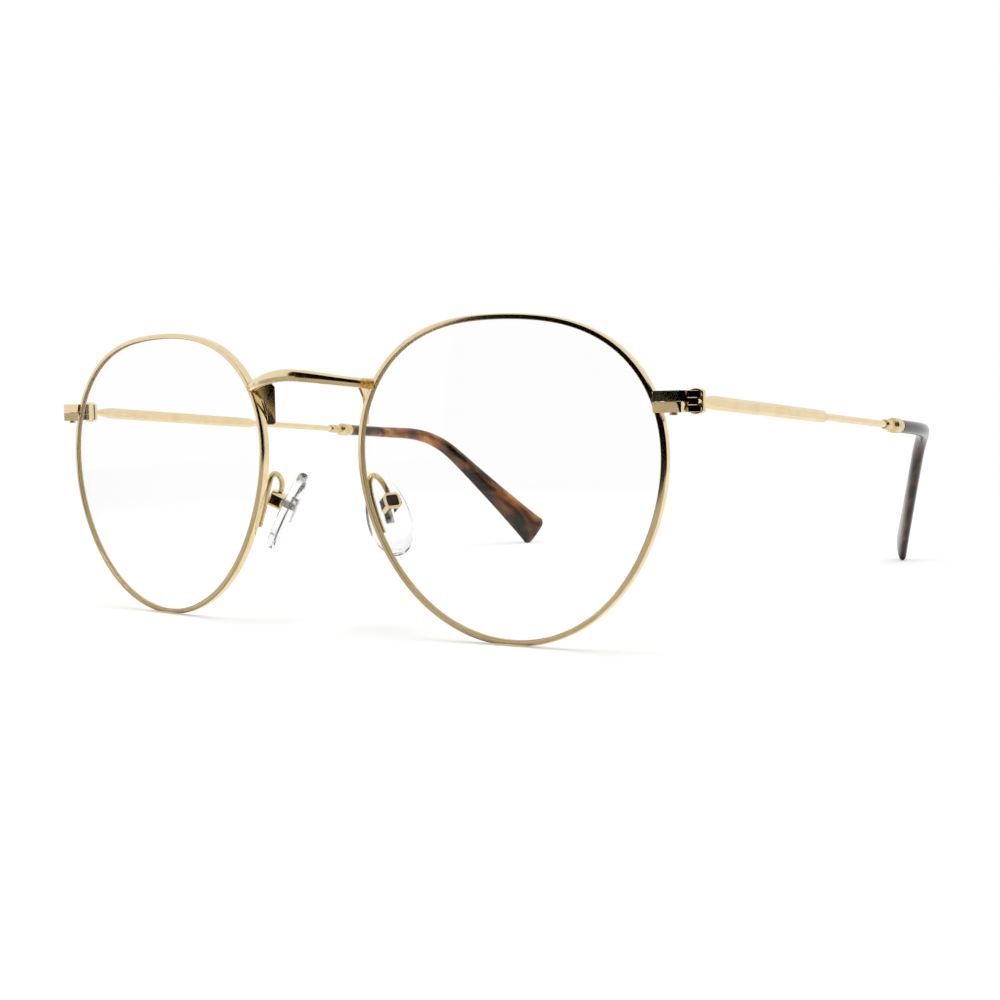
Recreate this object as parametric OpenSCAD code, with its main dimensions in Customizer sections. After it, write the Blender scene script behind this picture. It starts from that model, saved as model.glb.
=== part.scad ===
// Round metal eyeglasses, open and standing on a table.
// +X is the wearer's left, +Y runs back along the temples, +Z is up.
// The origin is on the table, under the middle of the open frame.
// The left half is modelled, and the right half is its mirror image.

/* [Lens] */
// Width of a lens on its centre line, bevel tip to bevel tip
lens_w = 48.2; // [46:0.1:52]
// Height of a lens on its centre line
lens_h = 45.8; // [43:0.1:49]
// How much the outline narrows towards the cheek
lens_pear = 0.94; // [0:0.02:1.4]
// How much the upper outline leans towards the nose
lens_lean = 0.25; // [0:0.01:0.5]
// How much the outline swells between its four sides
lens_square = 0.26; // [0:0.01:0.5]
// Thickness of a lens
lens_t = 1.2; // [1:0.1:1.6]
// Radius that both faces of a lens are curved to
lens_curve_r = 130; // [90:5:260]
// Height of the bevel round the edge of a lens
bevel_h = 0.33; // [0.25:0.01:0.4]
// Width of that bevel at its root
bevel_w = 0.6; // [0.4:0.05:0.8]

/* [Rim] */
// Metal between the groove and the outside of a rim
rim_wall = 0.42; // [0.35:0.01:0.6]
// Depth of the rim wire from front to back
rim_depth = 1.4; // [1.2:0.05:2]
// Chamfer on the outer edges of the rim wire
rim_chamfer = 0.16; // [0.1:0.02:0.25]
// Slit where the rim closes inside the end piece
rim_slit = 0.12; // [0.08:0.02:0.2]

/* [Front] */
// Distance between the lenses at the nose
bridge_gap = 20.6; // [18:0.1:23]
// Angle that each lens is turned back at the temple
wrap = 4.65; // [2:0.05:7]
// Angle that the front leans forward at the top as it stands
front_tilt = 0.9; // [0:0.1:3]

/* [Bridge] */
// Height of the bridge bar at its middle
bridge_h = 1.85; // [1.5:0.05:2.1]
// Height of the bridge bar where it meets the rims
bridge_end_h = 1.45; // [1.2:0.05:1.8]
// Depth of the bridge bar from front to back
bridge_d = 1.3; // [1:0.05:1.6]
// Height of the middle of the bridge above the lens centres
bridge_rise = 14.7; // [13.9:0.1:15.5]
// Height above the lens centres at which the bar meets the rims
bridge_end_rise = 13.3; // [12.5:0.1:13.8]
// How far the middle of the bar stands in front of the lens plane
bridge_bow = 4.5; // [3:0.1:5.5]
// Height above the lens centres at which the legs of the bridge end
leg_end_rise = 7.2; // [6.5:0.1:8]
// Thickness of a leg of the bridge
leg_t = 0.45; // [0.35:0.05:0.6]
// How far the legs stand out behind the rims
leg_proud = 1.4; // [1:0.1:1.8]

/* [End piece and closing joint] */
// Height of the hinges over the lens centres
hinge_rise = 9.8; // [8:0.1:11]
// How far the end piece reaches out past the rim
end_reach = 3.6; // [3:0.1:4.5]
// Height of the end piece, both halves together
end_h = 2.9; // [2.5:0.1:3.4]
// Thickness of the end piece from front to back
end_t = 1.6; // [1.4:0.05:2]
// How far the crease at the split stands in front of the upper and lower edges
end_crease = 0.3; // [0.1:0.05:0.45]
// How far the end piece laps over the front of the rim
end_lap = 0.45; // [0.3:0.05:0.6]
// Radius of the closing screw
close_screw_r = 0.38; // [0.35:0.01:0.5]

/* [Hinge] */
// Height of the three knuckles together
hinge_h = 2.7; // [2.4:0.1:3.4]
// Radius of a knuckle
knuckle_r = 1.05; // [0.95:0.05:1.3]
// Radius of the hinge screw
hinge_screw_r = 0.55; // [0.45:0.01:0.65]
// Thickness of the leaf plates that are brazed on
leaf_t = 0.6; // [0.45:0.05:0.7]

/* [Temple] */
// Length of the reeded head block behind the end piece
head_len = 3.9; // [3.5:0.1:6]
// Width of the head block
head_w = 2; // [1.8:0.1:2.4]
// Thickness of the flange behind the head block
flange_t = 1; // [0.6:0.1:1.4]
// Length of the flattened bar
bar_len = 43.1; // [34:0.1:48]
// Height of the flattened bar
bar_h = 1.9; // [1.6:0.05:2.4]
// Thickness of the flattened bar
bar_t = 1.15; // [1:0.05:1.4]
// Radius of the temple wire
wire_r = 0.6; // [0.5:0.01:0.75]
// Length of the temple from the flange to the tip
temple_len = 74.1; // [64:0.1:82]
// Angle that the temples spread outwards
splay = 1.9; // [0:0.1:4]

/* [Tip] */
// Length of a tip along its middle
tip_len = 64.1; // [56:0.1:72]
// Radius of a tip at the ferrule
tip_r = 1.15; // [1.1:0.02:1.4]
// Breadth of a tip at its end
paddle_w = 7.7; // [5.5:0.1:9]
// Thickness of a tip at its end
paddle_t = 2; // [1.7:0.1:2.4]
// Length from the ferrule to the start of the ear bend
bend_start = 16.5; // [12:0.1:20]
// Length of the ear bend
bend_len = 19.7; // [12:0.1:24]
// Angle that the ear bend turns down
ear_bend = 38.6; // [32:0.1:46]
// Angle that the tip turns in towards the head
tip_inset = 26.5; // [15:0.1:32]
// Length of the wire inside a tip
core_len = 50; // [40:0.5:54]
// Length of the ferrule
ferrule_len = 6.9; // [5:0.1:8]

/* [Nose pad] */
// Radius of the pad arm wire
arm_r = 0.44; // [0.35:0.01:0.5]
// Height of the foot of the pad arm below the lens centres
arm_foot_drop = 9; // [7.5:0.1:10]
// Length of the foot along the back of the rim
arm_foot_len = 5.4; // [4:0.1:6]
// Straight length of the arm above its foot
arm_limb = 1.7; // [1:0.1:2.5]
// Length of a pad
pad_len = 13.4; // [12:0.1:15]
// Width of a pad
pad_w = 7.1; // [6:0.1:8]
// Thickness of a pad
pad_t = 2.1; // [1.8:0.1:2.4]
// Angle of the pad to the vertical, seen from the front
pad_flare = 25; // [18:0.5:32]
// Angle of the pad to the front-to-back line, seen from above
pad_splay = 29; // [20:0.5:35]
// Distance of the pad's middle from the middle of the bridge
pad_x = 10.2; // [9.6:0.1:11]
// Distance of the pad's middle behind the lens plane
pad_y = 6.5; // [6:0.1:7.5]
// Height of the pad's middle below the lens centres
pad_drop = 6.6; // [5.8:0.1:7.6]
// Angle at which the top of the pad leans back
pad_lean = 9.6; // [0:0.2:14]

/* [Clearances] */
// Gap between the bevel of a lens and its groove
lens_clear = 0.02; // [0.01:0.01:0.04]
// Gap left for the braze between pieces that are brazed
braze_gap = 0.03; // [0.02:0.01:0.05]
// Radial clearance of a pin or screw that something turns on
run_clear = 0.05; // [0.03:0.01:0.08]
// Radial clearance of a screw in the thread that holds it
thread_clear = 0.02; // [0.01:0.01:0.03]
// Gap between pieces that move past each other
move_gap = 0.15; // [0.1:0.01:0.25]

/* [Hidden] */
$fn = 48;
eps = 0.01;

// Steps round a rim, and sides of the swept wires, tips and pads
ring_steps = 84;
bridge_sides = 12;
arm_sides = 10;
tip_sides = 14;
core_sides = 10;
pad_steps = 32;

// Inner wall and middle of the rim wire, and the pitch of the lenses
rim_in = -(rim_wall + bevel_h);
rim_mid = rim_depth / 2;
lens_pitch = lens_w + bridge_gap;

// Small vector and curve functions
function unit(v) = v / norm(v);
function total(list, i = 0) = i == len(list) - 1 ? list[i] : list[i] + total(list, i + 1);
function mean(pts) = total(pts) / len(pts);
function smooth(t) = let (u = min(max(t, 0), 1)) u * u * (3 - 2 * u);
function bezier(p, t) = pow(1 - t, 3) * p[0] + 3 * t * pow(1 - t, 2) * p[1] + 3 * t * t * (1 - t) * p[2]
    + pow(t, 3) * p[3];
function rounded(c, power) = sign(c) * pow(abs(c), power);

// Ring of points round a path point: ru along the reference direction, rv across it
function ring_at(p, dir, ref, ru, rv, sides, power = 1) = let (
    u = unit(ref - (ref * dir) * dir),
    v = cross(dir, u)
) [for (i = [0:sides - 1]) let (a = 360 * i / sides)
    p + ru * rounded(cos(a), power) * u + rv * rounded(sin(a), power) * v];
function dir_at(path, i) = unit(path[min(i + 1, len(path) - 1)] - path[max(i - 1, 0)]);
function tube(path, radii, ref, sides) = [for (i = [0:len(path) - 1])
    ring_at(path[i], dir_at(path, i), ref, radii[i], radii[i], sides)];

// Closed solid through a row of rings, with a point or the mean of the ring as the middle of each end
module skin(rings, first = undef, last = undef) {
    n = len(rings);
    m = len(rings[0]);
    middle_0 = is_undef(first) ? mean(rings[0]) : first;
    middle_1 = is_undef(last) ? mean(rings[n - 1]) : last;
    sides = [for (i = [0:n - 2], j = [0:m - 1]) let (k = (j + 1) % m)
        each [[i * m + j, (i + 1) * m + k, i * m + k], [i * m + j, (i + 1) * m + j, (i + 1) * m + k]]];
    ends = [for (j = [0:m - 1]) let (k = (j + 1) % m)
        each [[n * m, j, k], [n * m + 1, (n - 1) * m + k, (n - 1) * m + j]]];
    polyhedron(points = concat([for (r = rings) each r], [middle_0, middle_1]), faces = concat(sides, ends));
}

// Outline of a lens as a radius: angle 0 points to the temple and 90 points up
function lens_r(a) = (lens_w + lens_h) / 4 + lens_square + (lens_w - lens_h) / 4 * cos(2 * a)
    - lens_lean * sin(2 * a) + lens_pear * sin(3 * a) - lens_square * cos(4 * a);
function rim_r(a) = lens_r(a) + lens_clear + rim_wall;

// Angles at which the outside of the rim has a height over the lens centre, temple side and nose side
function temple_angle(h, a = 0, n = 8) = n == 0 ? a : temple_angle(h, asin(h / rim_r(a)), n - 1);
function nose_angle(h, a = 180, n = 8) = n == 0 ? a : nose_angle(h, 180 - asin(h / rim_r(a)), n - 1);

// From a lens's own frame, bowed to its curve, to the left half of the front, before it is set down
function turned(x, y, z) = let (
    bowed = y + (x * x + z * z) / (2 * lens_curve_r),
    tx = x * cos(wrap) - bowed * sin(wrap),
    ty = x * sin(wrap) + bowed * cos(wrap)
) [tx + lens_pitch / 2, ty * cos(front_tilt) - z * sin(front_tilt), z * cos(front_tilt) + ty * sin(front_tilt)];

// The rim wire's section: distance out from the rim's outside, and distance back from its front
rim_section = [[rim_in, 0], [-rim_chamfer, 0], [0, rim_chamfer], [0, rim_depth - rim_chamfer],
    [-rim_chamfer, rim_depth], [rim_in, rim_depth], [rim_in, rim_mid + bevel_w / 2],
    [rim_in + bevel_h, rim_mid], [rim_in, rim_mid - bevel_w / 2]];
split_a = temple_angle(hinge_rise);
slit_a = rim_slit / rim_r(split_a) * 180 / PI;
rim_angles = [for (i = [0:ring_steps]) split_a + slit_a / 2 + i * (360 - slit_a) / ring_steps];
function rim_turned(a) = [for (p = rim_section)
    turned((rim_r(a) + p[0]) * cos(a), p[1], (rim_r(a) + p[0]) * sin(a))];

// The front is set down with its rims on the table
lens_z = -min([for (a = rim_angles) min([for (p = rim_turned(a)) p[2]])]);
function front_pt(a, r, y) = turned(r * cos(a), y, r * sin(a)) + [0, 0, lens_z];
function behind_rim(a, r) = front_pt(a, rim_r(a) + rim_in / 2, rim_depth + braze_gap + r);

// End piece: the rim's outside at the split is where it starts
hinge_z = lens_z + hinge_rise;
rim_end = front_pt(split_a, rim_r(split_a), 0);
end_front = rim_end[1] - end_crease - 0.25;
end_back = end_front + end_t + 0.2;
end_in = rim_end[0] - end_lap;
end_out = rim_end[0] + end_reach;
end_corner = 0.8;
close_x = rim_end[0] + 2.2;
close_y = (end_front + end_back) / 2 + 0.15;
close_head_r = close_screw_r + 0.15;
close_head_h = 0.32;

// Hinge: the knuckles stand behind the leaf on the end piece, inside the head block
head_proud = 0.4;
temple_x = end_out + head_proud - head_w / 2;
head_y = end_back + move_gap;
head_in = temple_x - head_w / 2;
hinge_x = head_in - knuckle_r - move_gap;
leaf_y = end_back + braze_gap;
leaf_web = 0.25;
hinge_y = leaf_y + leaf_web + knuckle_r + move_gap;
knuckle_h = (hinge_h - 2 * run_clear) / 3;
hinge_head_r = hinge_screw_r + 0.22;
hinge_head_h = 0.32;
slot_w = 0.22;
slot_d = 0.18;

// Temple, in its own frame: along +Y from the back of the flange
temple_y = head_y + head_len + flange_t + braze_gap;
flange_r = end_h / 2 + 0.3;
neck_len = 0.9;
neck_r = 0.52;
bar_taper = 4.5;
bar_end_taper = 2.6;
bar_chamfer_t = 0.3;
bar_chamfer_h = 0.42;

// Tip: a path that turns in and down, and a bore for the core wire
tip_steps = 22;
core_steps = 15;
inset_len = bend_start + 0.75 * bend_len;
core_r = wire_r - 0.1;
paddle_power = 2.6;
paddle_square = 0.8;
paddle_round = 1.6;
paddle_edge = 0.7;
function tip_heading(s) = let (
    yaw = tip_inset * smooth(s / inset_len),
    pitch = ear_bend * smooth((s - bend_start) / bend_len)
) [-sin(yaw) * cos(pitch), cos(yaw) * cos(pitch), -sin(pitch)];
function tip_path(step, n) = [for (i = 0, p = [0, temple_len, 0]; i <= n;
    p = p + step * tip_heading((i + 0.5) * step), i = i + 1) p];
function tip_ring(p, s, cut = 0) = ring_at(p, tip_heading(s), [0, 0, 1],
    tip_r + (paddle_w / 2 - tip_r) * pow(s / tip_len, paddle_power) - cut * paddle_round,
    tip_r + (paddle_t / 2 - tip_r) * s / tip_len - cut * paddle_edge, tip_sides,
    1 + (paddle_square - 1) * s / tip_len);
tip_points = tip_path((tip_len - paddle_round) / tip_steps, tip_steps);
tip_outside = [for (i = [0:tip_steps]) tip_ring(tip_points[i], i * (tip_len - paddle_round) / tip_steps)];
tip_end = [for (i = [1:5]) tip_ring(tip_points[tip_steps] + paddle_round * sin(18 * i) * tip_heading(tip_len),
    tip_len, 1 - cos(18 * i))];
core_points = tip_path(core_len / core_steps, core_steps);
function core_ring(i, r, sides) = ring_at(core_points[i], tip_heading(i * core_len / core_steps), [0, 0, 1],
    r, r, sides);

// Slope of the temples that stands the tips on the table
temple_slope = min([for (ring = concat([tip_outside[tip_steps]], tip_end), p = ring)
    atan2(p[2], p[1]) + asin(hinge_z / norm([p[1], p[2]]))]);
function temple_pt(p) = let (
    y = p[1] * cos(temple_slope) + p[2] * sin(temple_slope)
) [temple_x + p[0] * cos(splay) + y * sin(splay), temple_y - p[0] * sin(splay) + y * cos(splay),
    hinge_z - p[1] * sin(temple_slope) + p[2] * cos(temple_slope)];

// Nose pad: its own frame has +X away from the nose, +Y to the back and +Z along the pad
pad_z = lens_z - pad_drop;
box_w = 2.6;
box_h = 2.5;
box_d = 2.2;
box_floor = 0.4;
box_slot = 1.3;
box_up = 0.95;
box_front = pad_t / 2 + 0.3;
box_back = box_front + box_d;
box_mid = box_front + box_d / 2;
tab_w = box_slot - 2 * move_gap;
tab_h = 1;
pad_screw_r = 0.3;
pad_screw_x = box_back - box_floor - move_gap - tab_h / 2;
pad_head_r = 0.55;
pad_head_h = 0.3;
insert_t = 0.5;
insert_w = 1.3;
insert_len = 4;
insert_up = 0.5;
pocket_clear = 0.03;
function pad_pt(p) = let (
    x = p[0] * cos(pad_splay) + p[1] * sin(pad_splay),
    y = p[1] * cos(pad_splay) - p[0] * sin(pad_splay),
    z = p[2] * cos(pad_lean) - y * sin(pad_lean)
) [pad_x + x * cos(pad_flare) - z * sin(pad_flare), pad_y + y * cos(pad_lean) + p[2] * sin(pad_lean),
    pad_z + x * sin(pad_flare) + z * cos(pad_flare)];

// The frame's middle from front to back is put over the origin
front_y = min(-bridge_bow - 0.6, min([for (a = rim_angles) min([for (p = rim_turned(a)) p[1]])]));
back_y = max([for (ring = tip_end, p = ring) temple_pt(p)[1]]);
middle_y = (front_y + back_y) / 2;
module left() {
    translate([0, -middle_y, 0]) children();
}
module right() {
    mirror([1, 0, 0]) left() children();
}

// A rod along Y, a box given by two corners, and the frames of the temple and the pad
module rod_y(r, h) {
    rotate([-90, 0, 0]) cylinder(r = r, h = h);
}
module block(low, high) {
    translate(low) cube(high - low);
}
module in_temple() {
    translate([temple_x, temple_y, hinge_z]) rotate([0, 0, -splay]) rotate([-temple_slope, 0, 0]) children();
}
module in_pad() {
    translate([pad_x, pad_y, pad_z]) rotate([-pad_lean, -pad_flare, 0]) rotate([0, 0, -pad_splay])
        children();
}

// Rim: a grooved wire swept round the lens, open at the slit
module rim() {
    color("goldenrod") skin([for (a = rim_angles) [for (p = rim_turned(a)) p + [0, 0, lens_z]]]);
}

// Lens: two bowed faces and a bevel that sits in the groove; each row is share of radius, bevel, depth
module lens() {
    front = rim_mid - lens_t / 2;
    back = rim_mid + lens_t / 2;
    rows = [[1 / 3, 0, back], [2 / 3, 0, back], [1, 0, back], [1, 0, rim_mid + bevel_w / 2], [1, bevel_h, rim_mid],
        [1, 0, rim_mid - bevel_w / 2], [1, 0, front], [2 / 3, 0, front], [1 / 3, 0, front]];
    rings = [for (row = rows) [for (i = [0:ring_steps - 1]) let (a = split_a + i * 360 / ring_steps)
        front_pt(a, (lens_r(a) - bevel_h) * row[0] + row[1], row[2])]];
    color("aliceblue", 0.35) skin(rings, front_pt(0, 0, back), front_pt(0, 0, front));
}

// Space that the rim takes up near an angle, and some way behind it: a ring on the circle that fits the rim there
module rim_space(at, behind = 0) {
    low = rim_in - 1;
    near = [for (i = [-1:1]) let (a = at + 3.5 * i) rim_r(a) * [cos(a), sin(a)]];
    chord_0 = near[0] - near[1];
    chord_1 = near[2] - near[1];
    twice = 2 * (chord_0[0] * chord_1[1] - chord_0[1] * chord_1[0]);
    centre = near[1] + [chord_1[1] * (chord_0 * chord_0) - chord_0[1] * (chord_1 * chord_1),
        chord_0[0] * (chord_1 * chord_1) - chord_1[0] * (chord_0 * chord_0)] / twice;
    r = norm(centre - near[1]);
    bow = function (d) pow(rim_r(at) + d, 2) / (2 * lens_curve_r);
    translate([lens_pitch / 2, 0, lens_z]) rotate([front_tilt, 0, 0]) rotate([0, 0, wrap])
        translate([centre[0], 0, centre[1]]) rotate([-90, 0, 0]) rotate_extrude($fn = 180)
            polygon([[r + low, bow(low) - braze_gap], [r + braze_gap, bow(0) - braze_gap],
                [r + braze_gap, bow(0) + rim_depth + braze_gap + behind],
                [r + low, bow(low) + rim_depth + braze_gap + behind]]);
}

// Bridge: a bar that bows forward between the rims, with a flat leg down to the back of each rim
bridge_a = nose_angle(bridge_end_rise);
bridge_end = front_pt(bridge_a, rim_r(bridge_a) + rim_in / 2, rim_mid);
bridge_top = [0, bridge_d / 2 - bridge_bow - 0.6, lens_z + bridge_rise];
bridge_arch = [bridge_top, bridge_top + [0.31 * bridge_end[0], 0, 0],
    bridge_end + [-0.19 * bridge_gap, -0.8 * bridge_bow, 0.45], bridge_end];
module bridge_bar() {
    steps = 16;
    half = [for (i = [1:steps]) bezier(bridge_arch, i / steps)];
    path = concat([for (i = [steps - 1:-1:0]) [-half[i][0], half[i][1], half[i][2]]], [bridge_top], half);
    skin([for (i = [0:2 * steps]) let (t = abs(i - steps) / steps)
        ring_at(path[i], dir_at(path, i), [0, 1, 0], bridge_d / 2,
            (bridge_h + (bridge_end_h - bridge_h) * smooth(t)) / 2, bridge_sides, 0.8)]);
}
module bridge_leg() {
    joint = bezier(bridge_arch, 0.8);
    low_a = nose_angle(leg_end_rise);
    low = front_pt(low_a, rim_r(low_a), rim_depth + braze_gap);
    z_0 = low[2];
    y_0 = low[1] + 0.02;
    y_1 = low[1] + leg_proud;
    tall = joint[2] - z_0;
    translate([low[0] - 0.6 * leg_t, 0, 0]) rotate([90, 0, 90]) linear_extrude(height = leg_t)
        polygon([[joint[1] - 0.1, joint[2] + 0.35], [y_1 - 0.5, joint[2] + 0.3], [y_1, joint[2] - 0.2],
            [y_1, z_0 + 0.3], [y_1 - 0.3, z_0], [y_0, z_0], [y_0, z_0 + 0.23 * tall],
            [y_0 - 0.54 * leg_proud, z_0 + 0.65 * tall], [y_0 - 0.68 * leg_proud, z_0 + 0.85 * tall],
            [joint[1] - 0.1, joint[2] - 0.45]]);
}
module bridge() {
    color("goldenrod") difference() {
        union() {
            bridge_bar();
            bridge_leg();
            mirror([1, 0, 0]) bridge_leg();
        }
        rim_space(bridge_a);
        mirror([1, 0, 0]) rim_space(bridge_a);
    }
}

// End piece: a short bar with a crease across its front, split into an upper and a lower half
module end_bar() {
    profile = [[end_front, 0], [end_front + end_crease, end_h / 2], [end_back, end_h / 2],
        [end_back, -end_h / 2], [end_front + end_crease, -end_h / 2]];
    difference() {
        intersection() {
            translate([end_in - 1, 0, hinge_z]) rotate([90, 0, 90])
                linear_extrude(height = end_out + 2 - end_in) polygon(profile);
            translate([0, 0, hinge_z - end_h]) linear_extrude(height = 2 * end_h) union() {
                translate([end_in, end_front - 0.05]) square([end_out - end_corner - end_in, end_t + 1]);
                translate([end_in, end_front + end_corner - 0.05]) square([end_out - end_in, end_t + 0.5]);
                translate([end_out - end_corner, end_front + end_corner - 0.05]) circle(r = end_corner);
            }
        }
        rim_space(split_a, end_t);
    }
}
module end_piece() {
    color("goldenrod") difference() {
        end_bar();
        block([end_in - 1, end_front - 1, hinge_z - end_h], [end_out + 1, end_back + 1, hinge_z + braze_gap]);
        translate([close_x, close_y, hinge_z - eps]) cylinder(r = close_screw_r + thread_clear, h = 1.1);
    }
}
module closing_block() {
    color("goldenrod") difference() {
        end_bar();
        block([end_in - 1, end_front - 1, hinge_z - braze_gap], [end_out + 1, end_back + 1, hinge_z + end_h]);
        translate([close_x, close_y, hinge_z - end_h]) cylinder(r = close_screw_r + run_clear, h = end_h);
    }
}
module closing_screw() {
    base = hinge_z - end_h / 2 - braze_gap;
    color("darkgoldenrod") difference() {
        union() {
            translate([close_x, close_y, base - close_head_h]) cylinder(r = close_head_r, h = close_head_h);
            translate([close_x, close_y, base - eps]) cylinder(r = close_screw_r, h = end_h / 2 + 1);
        }
        block([close_x - 1, close_y - slot_w / 2, base - close_head_h - 1],
            [close_x + 1, close_y + slot_w / 2, base - close_head_h + slot_d]);
    }
}

// Front hinge: a leaf on the back of the upper half, with an upper and a lower knuckle
module front_hinge() {
    low = hinge_z - hinge_h / 2;
    high = hinge_z + hinge_h / 2;
    color("goldenrod") difference() {
        union() {
            block([rim_end[0] + 0.5, leaf_y, low], [head_in - move_gap, leaf_y + leaf_t, high]);
            for (z = [low, high - knuckle_h]) {
                translate([hinge_x, hinge_y, z]) cylinder(r = knuckle_r, h = knuckle_h);
                block([hinge_x - 0.7, leaf_y + leaf_t / 2, z], [hinge_x + 0.7, hinge_y, z + knuckle_h]);
            }
        }
        translate([hinge_x, hinge_y, low + knuckle_h])
            cylinder(r = knuckle_r + move_gap, h = knuckle_h + 2 * run_clear);
        translate([hinge_x, hinge_y, low - 1]) cylinder(r = hinge_screw_r + thread_clear, h = hinge_h / 2 + 1);
        translate([hinge_x, hinge_y, hinge_z]) cylinder(r = hinge_screw_r + thread_clear, h = hinge_h);
        translate([hinge_x, hinge_y, high - hinge_head_h]) cylinder(r = hinge_head_r + run_clear, h = 1);
    }
}
module hinge_screw() {
    top = hinge_z + hinge_h / 2 - hinge_head_h + braze_gap;
    color("darkgoldenrod") difference() {
        union() {
            translate([hinge_x, hinge_y, top]) cylinder(r = hinge_head_r, h = hinge_head_h);
            translate([hinge_x, hinge_y, hinge_z - hinge_h / 2])
                cylinder(r = hinge_screw_r, h = top + eps - hinge_z + hinge_h / 2);
        }
        block([hinge_x - 2, hinge_y - slot_w / 2, top + hinge_head_h - slot_d],
            [hinge_x + 2, hinge_y + slot_w / 2, top + hinge_head_h + 1]);
    }
}

// Temple hinge: the middle knuckle, its web, and a leaf on the inside of the head block
module temple_hinge() {
    base = hinge_z - knuckle_h / 2;
    leaf_in = head_in - braze_gap - leaf_t / 2;
    leaf_start = hinge_y + knuckle_r + 2 * move_gap;
    color("goldenrod") difference() {
        union() {
            translate([hinge_x, hinge_y, base]) cylinder(r = knuckle_r, h = knuckle_h);
            block([hinge_x, hinge_y - 0.5, base], [head_in - braze_gap, hinge_y + 0.5, base + knuckle_h]);
            block([leaf_in, hinge_y - 0.5, base], [head_in - braze_gap, head_y + head_len, base + knuckle_h]);
            block([leaf_in, leaf_start, hinge_z - end_h / 2 + 0.2],
                [head_in - braze_gap, head_y + head_len, hinge_z + end_h / 2 - 0.2]);
        }
        translate([hinge_x, hinge_y, base - 1]) cylinder(r = hinge_screw_r + run_clear, h = knuckle_h + 2);
    }
}

// Temple head: a block with three reeds on its outside, and a flange behind it
module temple_head() {
    reed_r = end_h / 6;
    color("goldenrod") union() {
        translate([0, head_y + head_len, hinge_z]) rotate([90, 0, 0]) linear_extrude(height = head_len) union() {
            translate([head_in, -end_h / 2]) square([head_w - reed_r, end_h]);
            for (i = [-1:1]) translate([head_in + head_w - reed_r, 2 * i * reed_r]) circle(r = reed_r);
        }
        intersection() {
            translate([temple_x, head_y + head_len - eps, hinge_z]) rod_y(flange_r, flange_t + eps);
            block([head_in - 0.1, head_y + head_len - eps, hinge_z - end_h],
                [head_in + head_w + 0.1, head_y + head_len + flange_t, hinge_z + end_h]);
        }
    }
}

// Temple: neck, chamfered bar, round wire, and the thinner core that runs on inside the tip
module temple() {
    taper_steps = 8;
    over = bar_h / 2 + 0.05;
    edge = concat(
        [for (i = [0:taper_steps]) let (t = i / taper_steps)
            [neck_len - 0.2 + bar_taper * t, neck_r + (over - neck_r) * sin(90 * t)]],
        [for (i = [0:taper_steps]) let (t = i / taper_steps)
            [bar_len - bar_end_taper * (1 - t), wire_r + (over - wire_r) * (1 - smooth(t))]]);
    last = len(edge) - 1;
    outline = concat(edge, [for (i = [last:-1:0]) [edge[i][0], -edge[i][1]]]);
    ht = bar_t / 2;
    hh = bar_h / 2;
    section = [[-ht, hh - bar_chamfer_h], [bar_chamfer_t - ht, hh], [ht - bar_chamfer_t, hh],
        [ht, hh - bar_chamfer_h], [ht, bar_chamfer_h - hh], [ht - bar_chamfer_t, -hh],
        [bar_chamfer_t - ht, -hh], [-ht, bar_chamfer_h - hh]];
    color("goldenrod") in_temple() union() {
        rod_y(neck_r, neck_len);
        intersection() {
            translate([-bar_t, 0, 0]) rotate([90, 0, 90]) linear_extrude(height = 2 * bar_t) polygon(outline);
            rotate([90, 0, 0]) translate([0, 0, -bar_len - 1]) linear_extrude(height = bar_len + 2) polygon(section);
        }
        translate([0, bar_len - bar_end_taper, 0]) rod_y(wire_r, temple_len - bar_len + bar_end_taper);
        skin(concat([ring_at([0, temple_len - 1, 0], [0, 1, 0], [0, 0, 1], core_r, core_r, core_sides)],
            [for (i = [0:core_steps]) core_ring(i, core_r, core_sides)]));
    }
}

// Ferrule: a small bead and a larger one, turned in one piece
module ferrule() {
    bore = wire_r + thread_clear;
    small = tip_r - 0.28;
    large = tip_r + 0.16;
    profile = [[bore, 0], [small - 0.2, 0], [small, 0.25], [small, 0.4], [small - 0.12, 0.48], [large - 0.25, 0.5],
        [large, 0.56], [large, 0.9], [large - 0.12, 1], [bore, 1]];
    color("goldenrod") in_temple() translate([0, temple_len - ferrule_len - braze_gap, 0]) rotate([-90, 0, 0])
        rotate_extrude() polygon([for (i = [0:len(profile) - 1]) let (p = profile[i])
            [p[0], i == 2 ? p[1] : p[1] * ferrule_len]]);
}

// Tip: round at the ferrule and flattened to a paddle, with a blind bore for the core
module tip() {
    bore = [for (i = [core_steps:-1:0]) core_ring(i, core_r + run_clear, tip_sides)];
    color("saddlebrown") in_temple() skin(concat(bore, tip_outside, tip_end));
}

// Pad arm: a foot along the back of the rim, then a limb that loops over to the top of the box
module pad_arm() {
    low_a = nose_angle(-arm_foot_drop);
    top_a = nose_angle(arm_foot_len - arm_foot_drop);
    foot_steps = 4;
    loop_steps = 16;
    foot = [for (i = [0:foot_steps]) behind_rim(low_a + (top_a - low_a) * i / foot_steps, arm_r)];
    limb = foot[foot_steps] + arm_limb * unit(foot[foot_steps] - foot[foot_steps - 1]) + [0, 0.2, 0];
    over = box_up + box_h / 2 + braze_gap;
    landing = pad_pt([box_mid, 0, over]);
    loop = [limb, limb + [-0.3, 0.3, 3], pad_pt([box_mid, 0, over + 2.6]), landing];
    path = concat(foot, [for (i = [0:loop_steps]) bezier(loop, i / loop_steps)]);
    reach = landing - limb;
    side = unit([reach[1], -reach[0], 0]);
    color("goldenrod") skin(tube(path, [for (p = path) arm_r], side, arm_sides));
}

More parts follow.
